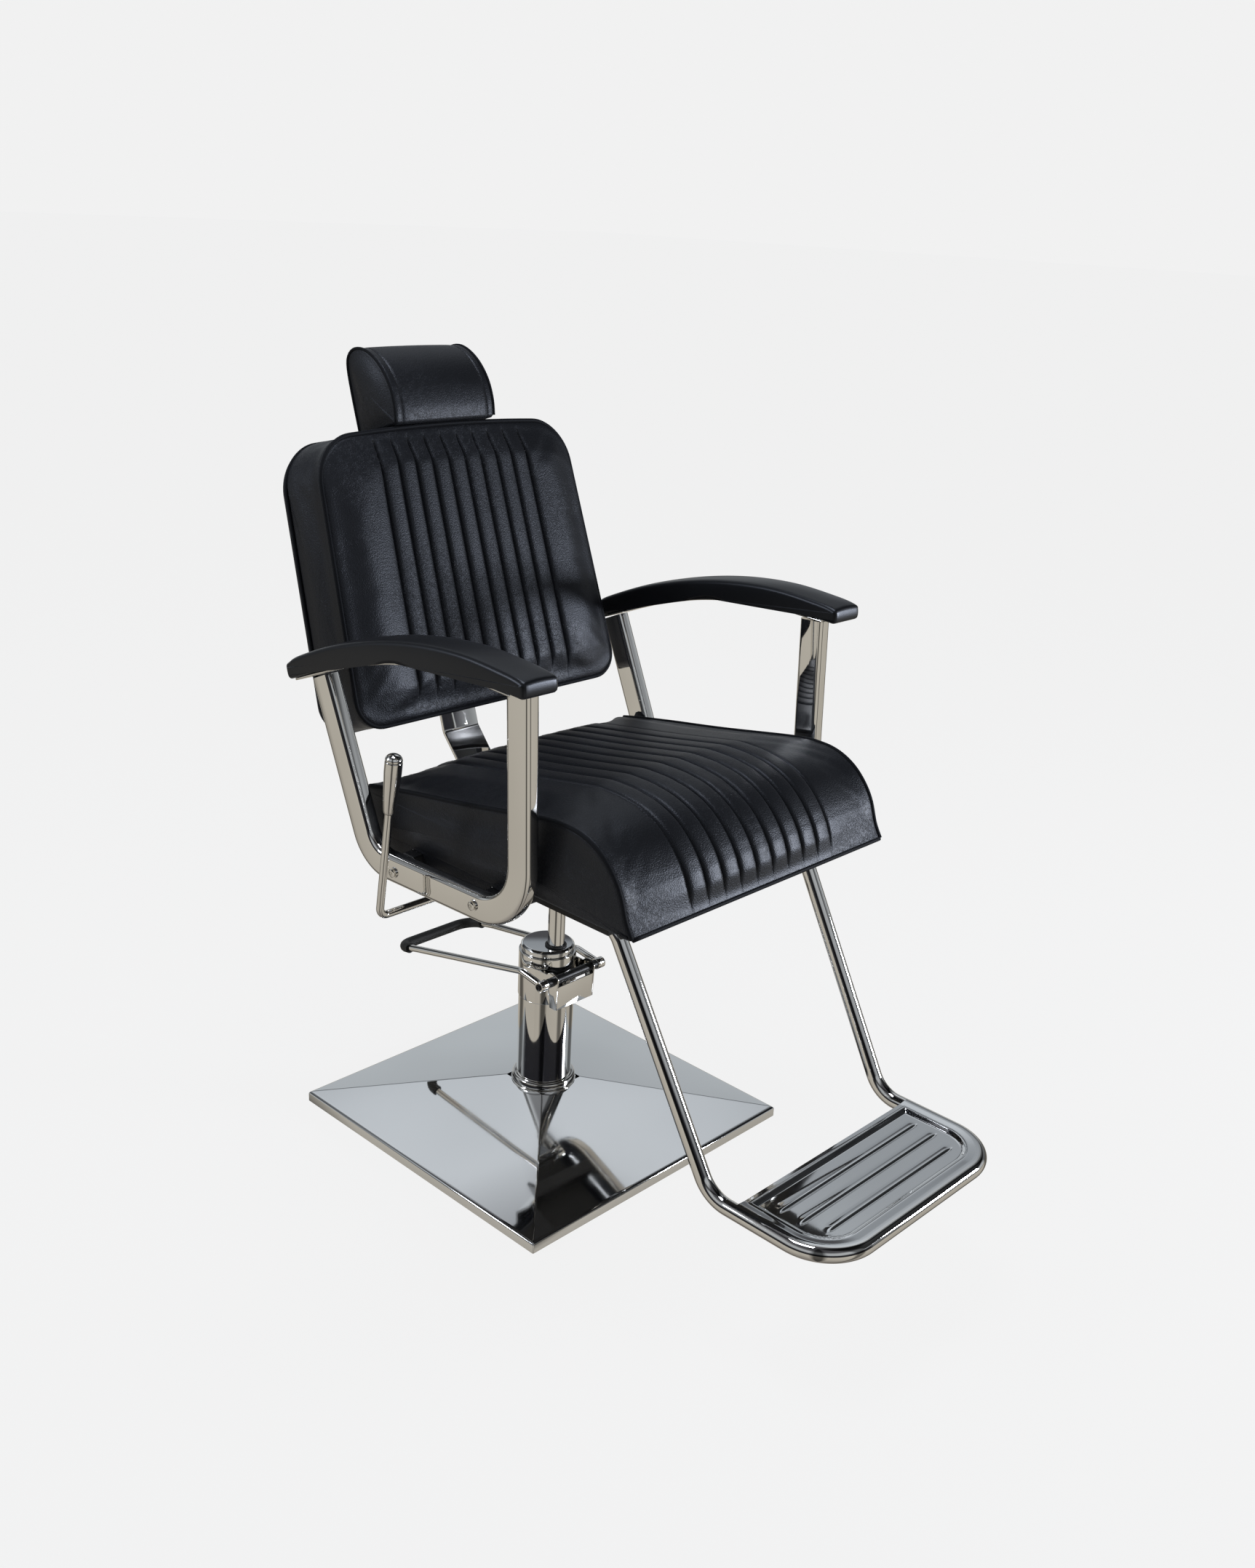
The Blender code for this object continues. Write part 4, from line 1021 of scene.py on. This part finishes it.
def build_back_shell():
    """The domed rear panel that closes the back."""
    edge = back_edge(0.0)
    facing = outward(edge)
    rings = []
    low, high, corner = BACK_THICK - PANEL_THICK + 0.0008, BACK_THICK, 0.007
    rings.append((edge - facing * 0.02, low))
    rings.append((edge - facing * 0.0008, low))
    for k in range(7):
        t = pi / 2 * k / 6
        rings.append((edge - facing * (corner * (1 - cos(t)) + 0.0004), high - corner + corner * sin(t)))
    verts = [tuple(back_point(x, w, u)) for ring, w in rings for x, u in ring]
    count = len(edge)
    faces = grid_faces(len(rings), count, wrap_columns=True)
    last, level = rings[-1]
    middle = last.mean(0)
    previous = list(range((len(rings) - 1) * count, len(rings) * count))
    for k in range(1, 15):
        t = k / 15
        w = level + 0.0035 * (1 - (1 - t) ** 3)
        base = len(verts)
        verts += [tuple(back_point(x, w, u)) for x, u in middle + (last - middle) * (1 - t)]
        current = list(range(base, base + count))
        faces += ring_quads(previous, current)
        previous = current
    faces.append(tuple(previous))
    faces.append(tuple(range(count)))
    shell = new_piece("back_shell", verts, faces, VINYL)
    seat_in("backrest", "vinyl", shell, "back_panel")
    border = [back_point(x, BACK_THICK + 0.0010, u) for x, u in back_edge(0.016, 0.005)]
    tree = surface_of(shell)
    inward = back_point(0, 0, 0) - back_point(0, 1, 0)
    stitches("shell_stitches", [laid_on(tree, border + border[:1], 0.0003, inward)], "backrest")


def build_headrest():
    profile = smooth_line(HEAD_SECTION, 0.0028)
    base = even_line([(0.087, 0.379), (0.084, 0.3765), (0.0, 0.3765), (-0.004, 0.379)], 0.005)
    outline = np.vstack([profile, base[1:-1]])
    facing = outward(outline)
    welts = [0.0800]
    ends, drawn = edge_steps(HEAD_HALF - 0.001, 0.005, 5)
    stations = seam_stations(HEAD_HALF, welts, ends, 0.004)
    insets = [dict(zip(np.round(ends, 6), drawn)).get(round(abs(x), 6), 0.0) for x in stations]
    verts, faces = loaf(rings_across(stations, insets, outline, facing), cap_rings=8, dome=0.005)
    thin = even_line(np.vstack([outline, outline[:1]]), 0.009)[:-1]
    thin -= outward(thin) * 0.002
    coarse = np.linspace(-HEAD_HALF + 0.003, HEAD_HALF - 0.003, 22)
    rough, rough_faces = loaf(rings_across(coarse, coarse * 0, thin, thin), cap_rings=4)
    start, move = swell(rough, rough_faces, 0.0050, 0.012, hold=lambda co: 1.0 if co[2] < 0.385 else 0.0)
    sewn = [(side * HEAD_HALF, *point) for side in (-1, 1) for point in outline]
    verts += carry(verts, start, move) * HEAD_CLOTH_SHARE * held_by(verts, sewn, 0.02)
    count = len(outline)
    mask = np.concatenate([np.ones(len(profile)), np.zeros(len(outline) - len(profile))])
    relief = channel_relief(stations, welts, 0.0014, 0.0010, 0.0016)
    for i in range(len(stations)):
        verts[i * count:(i + 1) * count, 1:] += facing * (mask * relief[i])[:, None]
    cushion = new_piece("headrest_cover", back_to_world(verts), faces, VINYL)
    seat_in("headrest", "vinyl", cushion, "headrest_cushion")
    tree = surface_of(cushion)
    for side, sign in SIDES:
        path = [back_point(sign * (HEAD_HALF - 0.0016), *(outline[i] - facing[i] * 0.0008))
                for i in range(0, len(profile), 2)]
        seat_in("headrest", "vinyl", sweep(f"headrest_piping_{side}", path, circle(0.0022, 12), PIPING))
    lines = []
    for x in (-0.0800, 0.0800):
        raw = [back_point(x, *(outline[i] + facing[i] * 0.01)) for i in range(2, len(profile) - 2)]
        centre = back_point(x, 0.045, 0.43)
        lines.append(laid_on(tree, raw, 0.0002, lambda p: centre - Vector(p)))
    stitches("headrest_stitches", lines, "headrest", 0.0042, 0.0028, 0.00045)


# ---------------------------------------------------------------- arms

def build_arm(sign):
    side = "left" if sign > 0 else "right"
    path = [(sign * ARM_X, p.x, p.y) for p in arc_path(ARM_PATH, ARM_RADII, radians(3))]
    frame_piece = sweep(f"arm_tube_{side}", path, rounded_section(ARM_WIDE, ARM_DEEP, 0.008), CHROME,
                        side=(1, 0, 0), sharp=50)
    seat_in("seat", "chrome", frame_piece, f"arm_frame_{side}")
    line = smooth_line(STRIP_LINE, 0.006)
    strip = [(sign * (PAD_IN + PAD_OUT) / 2, y, z - 0.0018) for y, z in line]
    strip_piece = sweep(f"pad_strip_{side}", strip, rounded_section(0.0500, 0.0032, 0.0014, 4), CHROME,
                        side=(1, 0, 0), sharp=50)
    seat_in("seat", "chrome", strip_piece, f"arm_strip_{side}")

    outline = smooth_line(PAD_UNDERSIDE + PAD_CROWN, 0.0034, closed=True)
    facing = outward(outline)
    half, middle = (PAD_OUT - PAD_IN) / 2, (PAD_OUT + PAD_IN) / 2
    ends, drawn = edge_steps(half, 0.0060, 6)
    inner = np.linspace(-half + 0.0060, half - 0.0060, 13)[1:-1]
    stations = np.concatenate([-np.array(ends[::-1]), inner, ends])
    insets = np.concatenate([drawn[::-1], inner * 0, drawn])
    verts, faces = loaf(rings_across(stations, insets, outline, facing), cap_rings=5, dome=0.0012)
    count = len(outline)
    up = np.clip(facing[:, 1], 0, 1)
    for i, x in enumerate(stations):
        verts[i * count:(i + 1) * count, 2] += up * 0.0024 * (1 - (x / half) ** 2) - up * 0.0010
    verts[:, 0] = sign * (verts[:, 0] + middle)
    pad = new_piece(f"arm_rest_{side}", verts, faces, PAD_SKIN)
    seat_in("seat", "pad_black", pad, f"arm_pad_{side}")


def build_arm_fasteners():
    face = ARM_X + ARM_WIDE / 2 + 0.0002
    for side, sign in SIDES:
        places = [((sign * face, -0.002, 0.4985), (sign, 0, 0)), ((sign * face, -0.1676, 0.5082), (sign, 0, 0))]
        fasteners(f"arm_buttons_{side}", places, "seat", 0.0078, 0.0044, 0.0034, CHROME, "chrome",
                  f"arm_screw_rear_{side}", f"arm_screw_front_{side}")
    bar_w = BACK_THICK + 0.0063
    rearwards = back_point(0, 1, 0) - back_point(0, 0, 0)
    places = [(back_point(0, bar_w + 0.0002, u), rearwards) for u in (-0.005, 0.050)]
    fasteners("back_buttons", places, "backrest", 0.0080, 0.0045, 0.0034, CHROME, "chrome", "back_screw_lower",
              "back_screw_upper")
    places = [((sign * 0.0672, PIVOT_Y, PIVOT_Z), (sign, 0, 0)) for sign in (-1, 1)]
    fasteners("pedal_buttons", places, "pedal", 0.0055, 0.0028, 0.0026, DARK_STEEL, "dark_steel", "pedal_screw_left",
              "pedal_screw_right")


# ---------------------------------------------------------------- footrest

def build_footrest():
    run = (FOOT_TOP_Z - FOOT_PLATE_Z) / tan(FOOT_SLOPE)
    half = [(FOOT_TOP_X, -0.1804, FOOT_TOP_Z), (FOOT_TOP_X, FOOT_KNEE + run, FOOT_TOP_Z),
            (FOOT_X, FOOT_KNEE, FOOT_PLATE_Z), (FOOT_X, FOOT_FRONT, FOOT_PLATE_Z)]
    corners = half + [(-x, y, z) for x, y, z in reversed(half)]
    path = arc_path(corners, [0.035, 0.050, FOOT_CORNER, FOOT_CORNER, 0.050, 0.035], radians(3))
    seat_in("seat", "chrome", sweep("footrest_tube", path, circle(FOOT_RADIUS, 40), CHROME, sharp=50), "footrest_frame")
    reach, front, bend = FOOT_X + 0.0040, FOOT_FRONT - 0.0040, FOOT_CORNER + 0.0040
    ys = set(np.round(np.arange(FOOT_PLATE_REAR, front, -0.004), 5)) | {front}
    for groove in FOOT_GROOVES + [FOOT_PLATE_REAR - 0.014]:
        for d in (0, 0.0005, 0.0011, 0.0018, 0.0026, 0.004, 0.006):
            ys |= {round(groove + d, 5), round(groove - d, 5)}
    ys |= {round(front + bend * (1 - cos(t)), 5) for t in np.linspace(0.05, pi / 2, 26)}
    ys |= {round(front + d, 5) for d in np.arange(0.0, 0.034, 0.0015)}
    ys |= {round(FOOT_PLATE_REAR - d, 5) for d in np.arange(0.0, 0.020, 0.0012)}
    ys = sorted(y for y in ys if front <= y <= FOOT_PLATE_REAR)
    columns = np.concatenate([np.linspace(-1, -0.80, 26)[:-1], np.linspace(-0.80, 0.80, 76),
                              np.linspace(0.80, 1, 26)[1:]])
    top, under = [], []
    for y in ys:
        over = max(0.0, front + bend - y)
        wide = reach - bend + sqrt(max(bend ** 2 - over ** 2, 0.0))
        for c in columns:
            x = c * wide
            edge = min(reach - abs(x), y - front, bend - sqrt((abs(x) - reach + bend) ** 2 + over ** 2)
                       if abs(x) > reach - bend and over > 0 else 1.0)
            level = FOOT_PLATE_Z + 0.0060 + plate_height(x, y, max(edge, 0.0))
            top.append((x, y, level))
            under.append((x, y, level - 0.0018))
    rows, wide_count = len(ys), len(columns)
    faces = grid_faces(rows, wide_count) + grid_faces(rows, wide_count, rows * wide_count)
    base = rows * wide_count
    rim = [(0, j) for j in range(wide_count)] + [(i, wide_count - 1) for i in range(1, rows)] \
        + [(rows - 1, j) for j in range(wide_count - 2, -1, -1)] + [(i, 0) for i in range(rows - 2, 0, -1)]
    for (i, j), (i2, j2) in zip(rim, rim[1:] + rim[:1]):
        a, b = i * wide_count + j, i2 * wide_count + j2
        faces.append((a, b, base + b, base + a))
    seat_in("seat", "chrome", new_piece("foot_plate", top + under, faces, SHEET_CHROME, 45), "footrest_plate")


def plate_height(x, y, edge):
    """The pressed plate's height: a rim that wraps over the tube, and full panels between its grooves."""
    rim = min(edge, FOOT_PLATE_REAR - y + 0.0125)
    t = min(max((0.0290 - rim) / 0.0075, 0.0), 1.0)
    height = 0.0040 * ease(t) + 0.0008 * exp(-((rim - 0.0225) / 0.0022) ** 2)
    height += 0.0012 * min(max((0.0200 - edge) / 0.0110, 0.0), 1.0) - 0.0022 * exp(-(edge / 0.0016))
    for groove in FOOT_GROOVES:
        reach = 0.1460 if groove > FOOT_GROOVES[-1] else 0.1320
        fade = 1 / (1 + exp((abs(x) - reach) / 0.0018))
        height -= 0.0015 * fade * exp(-((y - groove) / 0.0014) ** 2)
        height += 0.0007 * fade * exp(-((y - groove - 0.0046) / 0.0036) ** 2)
    return height


# ---------------------------------------------------------------- base and pump

def build_base():
    top = RIM_HEIGHT + RIM_INSET / 2 + (BASE_HALF - RIM_INSET - 0.040) * PYRAMID_SLOPE
    shape = bmesh.new()
    levels = [(0.0415, top - 0.002), (0.0415, top), (BASE_HALF - RIM_INSET, RIM_HEIGHT + RIM_INSET / 2),
              (BASE_HALF, RIM_HEIGHT), (BASE_HALF, 0.0005), (BASE_HALF - 0.002, 0.0005),
              (BASE_HALF - 0.002, RIM_HEIGHT - 0.001),
               (BASE_HALF - RIM_INSET - 0.001, RIM_HEIGHT + RIM_INSET / 2 - 0.0022)]
    rings = [[shape.verts.new((sx * half, sy * half, z)) for sx, sy in ((1, 1), (-1, 1), (-1, -1), (1, -1))]
             for half, z in levels]
    for i in range(len(rings)):
        k = (i + 1) % len(rings)
        for j in range(4):
            shape.faces.new((rings[i][j], rings[i][(j + 1) % 4], rings[k][(j + 1) % 4], rings[k][j]))
    bmesh.ops.recalc_face_normals(shape, faces=shape.faces)
    soft = [e for e in shape.edges if max(v.co.z for v in e.verts) > 0.010 and e.calc_face_angle(0) > radians(4)
            and max(abs(v.co.x) for v in e.verts) > 0.2]
    bmesh.ops.bevel(shape, geom=soft, offset=0.0022, segments=4, profile=0.5, affect="EDGES", clamp_overlap=True)
    cover = piece_from("base_shell", shape, SHEET_CHROME, 30)
    seat_in("base", "chrome", cover, "base_cover")
    boss = bevel_profile([(COLUMN_RADIUS + 0.0004, BOSS_TOP), (BOSS_RADIUS, BOSS_TOP), (BOSS_RADIUS, 0.048),
                          (COLUMN_RADIUS + 0.0004, 0.048)], 0.002)
    seat_in("base", "chrome", lathe("base_boss", boss, CHROME, closed=True))
    collar = bevel_profile([(COLUMN_RADIUS + GAP, 0.0716), (0.0462, 0.0727), (0.0495, 0.0705),
                            (0.0495, BOSS_TOP + GAP), (COLUMN_RADIUS + GAP, BOSS_TOP + GAP)], 0.003)
    seat_in("base", "chrome", lathe("collar_ring", collar, CHROME, closed=True), "column_collar")


def build_pump():
    wall = [(0.0400, SLEEVE_BOTTOM - GAP), (COLUMN_RADIUS, SLEEVE_BOTTOM - GAP), (COLUMN_RADIUS, 0.0128),
            (0.0400, 0.0128)]
    seat_in("base", "chrome", lathe("column_tube", wall, CHROME, closed=True), "pump_column")
    top = CAP_BOTTOM - GAP
    wall = bevel_profile([(0.0400, top), (SLEEVE_RADIUS, top), (SLEEVE_RADIUS, SLEEVE_BOTTOM),
                          (0.0400, SLEEVE_BOTTOM)], 0.0010)
    seat_in("base", "chrome", lathe("sleeve_tube", wall, CHROME, closed=True), "pump_sleeve")
    cap = bevel_profile([(0.0, CAP_TOP), (CAP_RADIUS - 0.0035, CAP_TOP), (CAP_RADIUS, CAP_TOP - 0.0030),
                         (CAP_RADIUS, CAP_BOTTOM + 0.0012),
                          (CAP_RADIUS - 0.0008, CAP_BOTTOM), (0.0, CAP_BOTTOM)], 0.0010)
    seat_in("base", "chrome", lathe("cap_disc", cap, SHEET_CHROME), "pump_cap")
    centre = Matrix.Translation((0, RAM_Y, 0))
    ram = [(0, 0.470), (RAM_RADIUS, 0.470), (RAM_RADIUS, 0.120), (0, 0.120)]
    seat_in("ram", "chrome", lathe("ram_rod", ram, CHROME, centre), "ram")
    seal = bevel_profile([(RAM_RADIUS + 0.0004, CAP_TOP + 0.0028), (0.0168, CAP_TOP + 0.0028),
                          (0.0168, CAP_TOP + GAP),
                          (RAM_RADIUS + 0.0004, CAP_TOP + 0.0003)], 0.001)
    seat_in("base", "rubber", lathe("wiper_seal", seal, RUBBER, centre, closed=True), "ram_seal")


def build_bracket():
    side = [(BRACKET_FRONT, 0.2165), (-0.0485, 0.2165), (-0.046, 0.250), (-0.022, 0.250), (-0.020, 0.270)]
    side += [(PIVOT_Y + 0.0145 * sin(t), PIVOT_Z + 0.0145 * cos(t)) for t in np.linspace(1.0, -1.1, 14)]
    side += [(BRACKET_FRONT - 0.0015, 0.258)]
    for name, x in (("left", BRACKET_HALF), ("right", -BRACKET_HALF)):
        low, high = sorted((x, x - 0.0022 * (1 if x > 0 else -1)))
        ear = slab(f"bracket_ear_{name}", side, low, high, CHROME, 0.0006, YZ_PLANE, 3, 15)
        seat_in("base", "chrome", ear)
    reach = BRACKET_HALF - 0.0003
    plate = [(-reach, 0.2165), (reach, 0.2165), (reach, 0.2550), (-reach, 0.2550)]
    stand = Matrix(((1, 0, 0, 0), (0, 0, 1, 0), (0, 1, 0, 0), (0, 0, 0, 1)))
    front = slab("bracket_face", plate, BRACKET_FRONT, BRACKET_FRONT + 0.002, CHROME, 0.0006, stand, 3, 15)
    seat_in("base", "chrome", front, "pump_bracket")


def pedal_path():
    near, far = (-PEDAL_HALF, PIVOT_Y, PIVOT_Z), (PEDAL_HALF, PIVOT_Y, PIVOT_Z)
    corners = [near, (-PEDAL_HALF, -0.006, 0.2695), (-PEDAL_HALF, 0.240, 0.2125),
               (-PEDAL_HALF, PEDAL_REAR, PEDAL_REAR_Z), (0.092, PEDAL_REAR, PEDAL_REAR_Z), (0.090, 0.225, 0.2145),
               (PEDAL_HALF + 0.003, -0.004, 0.266), far]
    return arc_path(corners, [0.020, 0.05, 0.022, 0.030, 0.06, 0.020], radians(4))


def build_pedal():
    path = pedal_path()
    bar = sweep("pedal_rods", path, circle(PEDAL_ROD, 28), CHROME, sharp=50)
    seat_in("pedal", "chrome", bar, "pedal_bar")
    for side, sign in SIDES:
        profile = bevel_profile([(0, 0.0523), (0.0086, 0.0523), (0.0086, 0.0670), (0, 0.0670)], 0.0012)
        boss = lathe(f"pedal_boss_{side}", profile, CHROME, axis_frame((0, PIVOT_Y, PIVOT_Z), (sign, 0, 0)), 64)
        seat_in("pedal", "chrome", boss)
    shaft = bevel_profile([(0, -0.052), (0.0072, -0.052), (0.0072, 0.052), (0, 0.052)], 0.0008)
    pivot = axis_frame((0, PIVOT_Y, PIVOT_Z), (1, 0, 0))
    seat_in("pedal", "dark_steel", lathe("pedal_shaft", shaft, DARK_STEEL, pivot, 64), "pedal_tube")
    start = next(i for i, p in enumerate(path) if p.y > 0.245)
    end = next(i for i, p in enumerate(path) if i > start + 8 and p.y < 0.235)
    covered = [path[start - 1].lerp(path[start], 0.8)] + path[start:end] + [path[end - 1].lerp(path[end], 0.12)]
    covered = [Vector(p) for p in even_line(covered, 0.004)]
    seat_in("pedal", "rubber", sweep("pedal_grip", covered, circle(PEDAL_GRIP, 28), RUBBER, sharp=50), "pedal_sleeve")
    for name, at, towards in (("near", covered[0], covered[1]), ("far", covered[-1], covered[-2])):
        lip = bevel_profile([(0.0057, 0), (0.0089, 0), (0.0089, 0.004), (0.0057, 0.004)], 0.001)
        frame_to = axis_frame(at, towards - at)
        seat_in("pedal", "rubber", lathe(f"pedal_grip_lip_{name}", lip, RUBBER, frame_to, 40, closed=True))


# ---------------------------------------------------------------- back bar and lever

def build_back_bar():
    bar_w = BACK_THICK + 0.0033
    top, bend = back_point(0, bar_w, 0.075), back_point(0, bar_w, -0.083)
    corners = [(top.y, top.z), (bend.y, bend.z), (0.151, 0.520), (0.137, 0.500), (0.1245, 0.500)]
    path = [(0, p.x, p.y) for p in arc_path(corners, [0.020, 0.014, 0.008], radians(4))]
    bar = sweep("back_bar", path, rounded_section(0.069, 0.006, 0.0014, 4), CHROME, side=(1, 0, 0), sharp=50)
    seat_in("backrest", "chrome", bar, "back_bracket")
    profile = bevel_profile([(0.0043, -0.0342), (0.008, -0.0342), (0.008, 0.0342), (0.0043, 0.0342)], 0.0008)
    barrel = lathe("hinge_barrel", profile, CHROME, axis_frame(HINGE, (1, 0, 0)), 48, closed=True)
    seat_in("backrest", "chrome", barrel)


def build_lever():
    lean = Vector((0, -sin(LEVER_LEAN), cos(LEVER_LEAN)))
    elbow = Vector((LEVER_X, LEVER_Y, LEVER_Z))
    grip_start = elbow + lean * 0.158
    path = arc_path([tuple(grip_start), tuple(elbow), (-0.0245, LEVER_Y, LEVER_Z)], [0.014], radians(4))
    seat_in("recline_lever", "chrome", sweep("lever_bar", path, circle(LEVER_ROD, 32), CHROME, sharp=50), "lever_rod")
    profile = bevel_profile([(0, 0.0770), (0.0112, 0.0770), (0.0118, 0.0755), (0.0118, 0.060), (0.0095, 0.022),
                             (0.0078, 0.004), (0.0066, 0), (0, 0)], 0.002)
    at = axis_frame(grip_start + lean * 0.0003, lean)
    seat_in("recline_lever", "chrome", lathe("hand_grip", profile, CHROME, at, 64), "lever_grip")
    profile = bevel_profile([(0, 0.0100), (0.0050, 0.0092), (0.0095, 0.0066), (0.0116, 0.0030), (0.0116, 0.0008),
                             (0.0108, 0), (0, 0)], 0.002)
    at = axis_frame(grip_start + lean * 0.0776, lean)
    seat_in("recline_lever", "chrome", lathe("grip_cap", profile, CHROME, at, 64), "lever_knob")


def finish_hidden_nodes():
    """The frame's own parts that stay as they are get their finish here."""
    finishes = {RUBBER: ["base_mat"], IRON: ["base_weight"], BOARD: ["seat_board"],
                DARK_STEEL: ["swivel_hub", "mount_plate", "rear_beam", "front_beam", "footrest_socket_left",
                             "footrest_socket_right", "hinge_block", "lever_bearing", "lock_guide", "ram_piston"],
                STEEL: ["pump_cylinder", "ram_bushing", "valve_block", "valve_plunger", "pedal_cam", "hinge_pin",
                        "lock_quadrant", "lock_rod", "post_guide_left", "post_guide_right"],
                CHROME: ["headrest_post_left", "headrest_post_right"]}
    for finish, names in finishes.items():
        for name in names:
            node = NODES[name]
            node.data.materials.clear()
            node.data.materials.append(finish)


# ---------------------------------------------------------------- studio

def build_floor():
    """A wide even floor that lights the chair from below and isn't mirrored in it."""
    paint, _, shader, _ = blank_material("studio_floor")
    set_values(shader, {"Base Color": (0.05, 0.05, 0.05, 1), "Roughness": 0.9, "Specular IOR Level": 0.0,
                        "Emission Color": (1, 1, 1, 1), "Emission Strength": 0.862})
    data = bpy.data.meshes.new("studio_floor")
    data.from_pydata([(-60, -60, 0), (60, -60, 0), (60, 60, 0), (-60, 60, 0)], [], [(0, 1, 2, 3)])
    data.materials.append(paint)
    floor = linked("studio_floor", data)
    floor.visible_glossy = False


def build_world():
    """A room whose walls differ with height and direction, seen only in what the chair mirrors."""
    world = bpy.data.worlds.new("studio")
    bpy.context.scene.world = world
    world.use_nodes = True
    tree = world.node_tree
    tree.nodes.clear()
    coordinates = add_node(tree, "ShaderNodeTexCoord")
    axes = add_node(tree, "ShaderNodeSeparateXYZ", links={"Vector": coordinates.outputs["Generated"]})
    level = math_node(tree, "MULTIPLY_ADD", axes.outputs["Z"], 0.5, 0.5)
    far_side = [(0.00, (0.22, 0.20, 0.18)), (0.20, (0.42, 0.39, 0.34)), (0.42, (0.50, 0.47, 0.41)),
                (0.47, (0.30, 0.28, 0.25)), (0.485, (0.12, 0.12, 0.12)), (0.497, (0.42, 0.44, 0.45)),
                (0.515, (0.50, 0.52, 0.53)), (0.60, (0.48, 0.51, 0.53)), (0.652, (0.38, 0.40, 0.42)),
                (0.668, (0.08, 0.08, 0.085)), (0.705, (0.08, 0.08, 0.085)), (0.725, (0.28, 0.30, 0.32)),
                (0.775, (0.34, 0.36, 0.38)), (0.83, (0.56, 0.59, 0.62)), (0.87, (0.62, 0.65, 0.68)),
                (0.91, (0.12, 0.12, 0.13)), (1.00, (0.05, 0.05, 0.055))]
    near_side = [(0.00, (0.24, 0.22, 0.20)), (0.20, (0.44, 0.41, 0.36)), (0.44, (0.52, 0.49, 0.43)),
                 (0.455, (0.03, 0.03, 0.03)), (0.62, (0.02, 0.02, 0.025)), (0.67, (0.36, 0.38, 0.40)),
                 (0.80, (0.46, 0.48, 0.50)), (0.90, (0.10, 0.10, 0.11)), (1.00, (0.05, 0.05, 0.055))]
    depth = math_node(tree, "ADD", axes.outputs["X"], axes.outputs["Y"])
    height = add_node(tree, "ShaderNodeMix", {"data_type": "RGBA"},
                      {"Factor": eased(tree, depth, -0.25, 0.35, 1.0, 0.0)})
    for socket, stops in ((6, far_side), (7, near_side)):
        tree.links.new(ramp(tree, level, stops), height.inputs[socket])
    around = math_node(tree, "ARCTAN2", axes.outputs["Y"], axes.outputs["X"])
    stops = [(0.00, 0.95), (0.05, 1.0), (0.075, 0.18), (0.115, 0.18), (0.14, 1.0), (0.26, 1.05), (0.28, 0.30),
             (0.31, 0.30), (0.33, 1.0), (0.45, 0.95), (0.47, 0.22), (0.53, 0.30), (0.56, 1.0), (0.73, 1.05),
             (0.76, 0.22), (0.81, 0.25), (0.84, 1.0)]
    turn = math_node(tree, "MULTIPLY_ADD", around, 0.5 / pi, 0.5)
    panes = ramp(tree, turn, [(position, (value,) * 3) for position, value in stops])
    corner = eased(tree, math_node(tree, "ABSOLUTE", math_node(tree, "ADD", around, 0.55)), 0.45, 0.75)
    raised = eased(tree, axes.outputs["Z"], 0.34, 0.42, 1.0, 0.0)
    shaded = math_node(tree, "MAXIMUM", math_node(tree, "MAXIMUM", corner, raised), 0.06)
    strength = math_node(tree, "MULTIPLY", panes, shaded)
    room = add_node(tree, "ShaderNodeBackground", links={"Color": height.outputs[2], "Strength": strength})
    plain = add_node(tree, "ShaderNodeBackground", values={"Color": (0.880, 0.880, 0.880, 1), "Strength": 1.0})
    seen = add_node(tree, "ShaderNodeLightPath")
    mix = add_node(tree, "ShaderNodeMixShader", links={"Fac": seen.outputs["Is Camera Ray"],
                   1: room.outputs["Background"], 2: plain.outputs["Background"]})
    out = add_node(tree, "ShaderNodeOutputWorld")
    tree.links.new(mix.outputs["Shader"], out.inputs["Surface"])


def build_lamps():
    for name, at, aim, size, power in (
            ("overhead", (-0.1, 0.1, 3.0), (0, -0.1, 0.4), 0.9, 20),
            ("front_window", (2.2, -2.5, 0.95), (0, -0.2, 0.65), 0.55, 72),
            ("side_window", (-2.6, 1.6, 2.2), (0, 0, 0.8), 0.7, 22)):
        lamp = bpy.data.lights.new(name, "AREA")
        lamp.size = size
        lamp.energy = power
        lamp.color = (0.88, 0.92, 1.0)
        obj = linked(name, lamp)
        obj.location = at
        obj.rotation_mode = "QUATERNION"
        obj.rotation_quaternion = (Vector(aim) - Vector(at)).to_track_quat("-Z", "Y")


def build_camera():
    azimuth, elevation, roll = radians(-46.982), radians(20.29), radians(2.95)
    back = Vector((sin(azimuth) * cos(elevation), -cos(azimuth) * cos(elevation), sin(elevation)))
    right = (-back).cross(Vector((0, 0, 1))).normalized()
    up = right.cross(-back)
    right, up = right * cos(roll) + up * sin(roll), -right * sin(roll) + up * cos(roll)
    camera = bpy.data.cameras.new("camera")
    camera.lens = 35.876
    camera.sensor_width = 36
    camera.sensor_fit = "AUTO"
    view = linked("camera", camera)
    at = Vector((0.00088, -0.15017, 0.60155)) + back * 2.21628
    view.matrix_world = Matrix(((right.x, up.x, back.x, at.x), (right.y, up.y, back.y, at.y),
                                (right.z, up.z, back.z, at.z), (0, 0, 0, 1)))
    bpy.context.scene.camera = view


build_seat_trim(build_seat())
build_seat_skirt()
build_back_trim(build_back())
build_back_shell()
build_headrest()
for hand in (-1, 1):
    build_arm(hand)
build_arm_fasteners()
build_footrest()
build_base()
build_pump()
build_bracket()
build_pedal()
build_back_bar()
build_lever()
finish_hidden_nodes()
bpy.context.scene.view_settings.view_transform = "Standard"
bpy.context.scene.view_settings.look = "None"
build_floor()
build_world()
build_lamps()
build_camera()
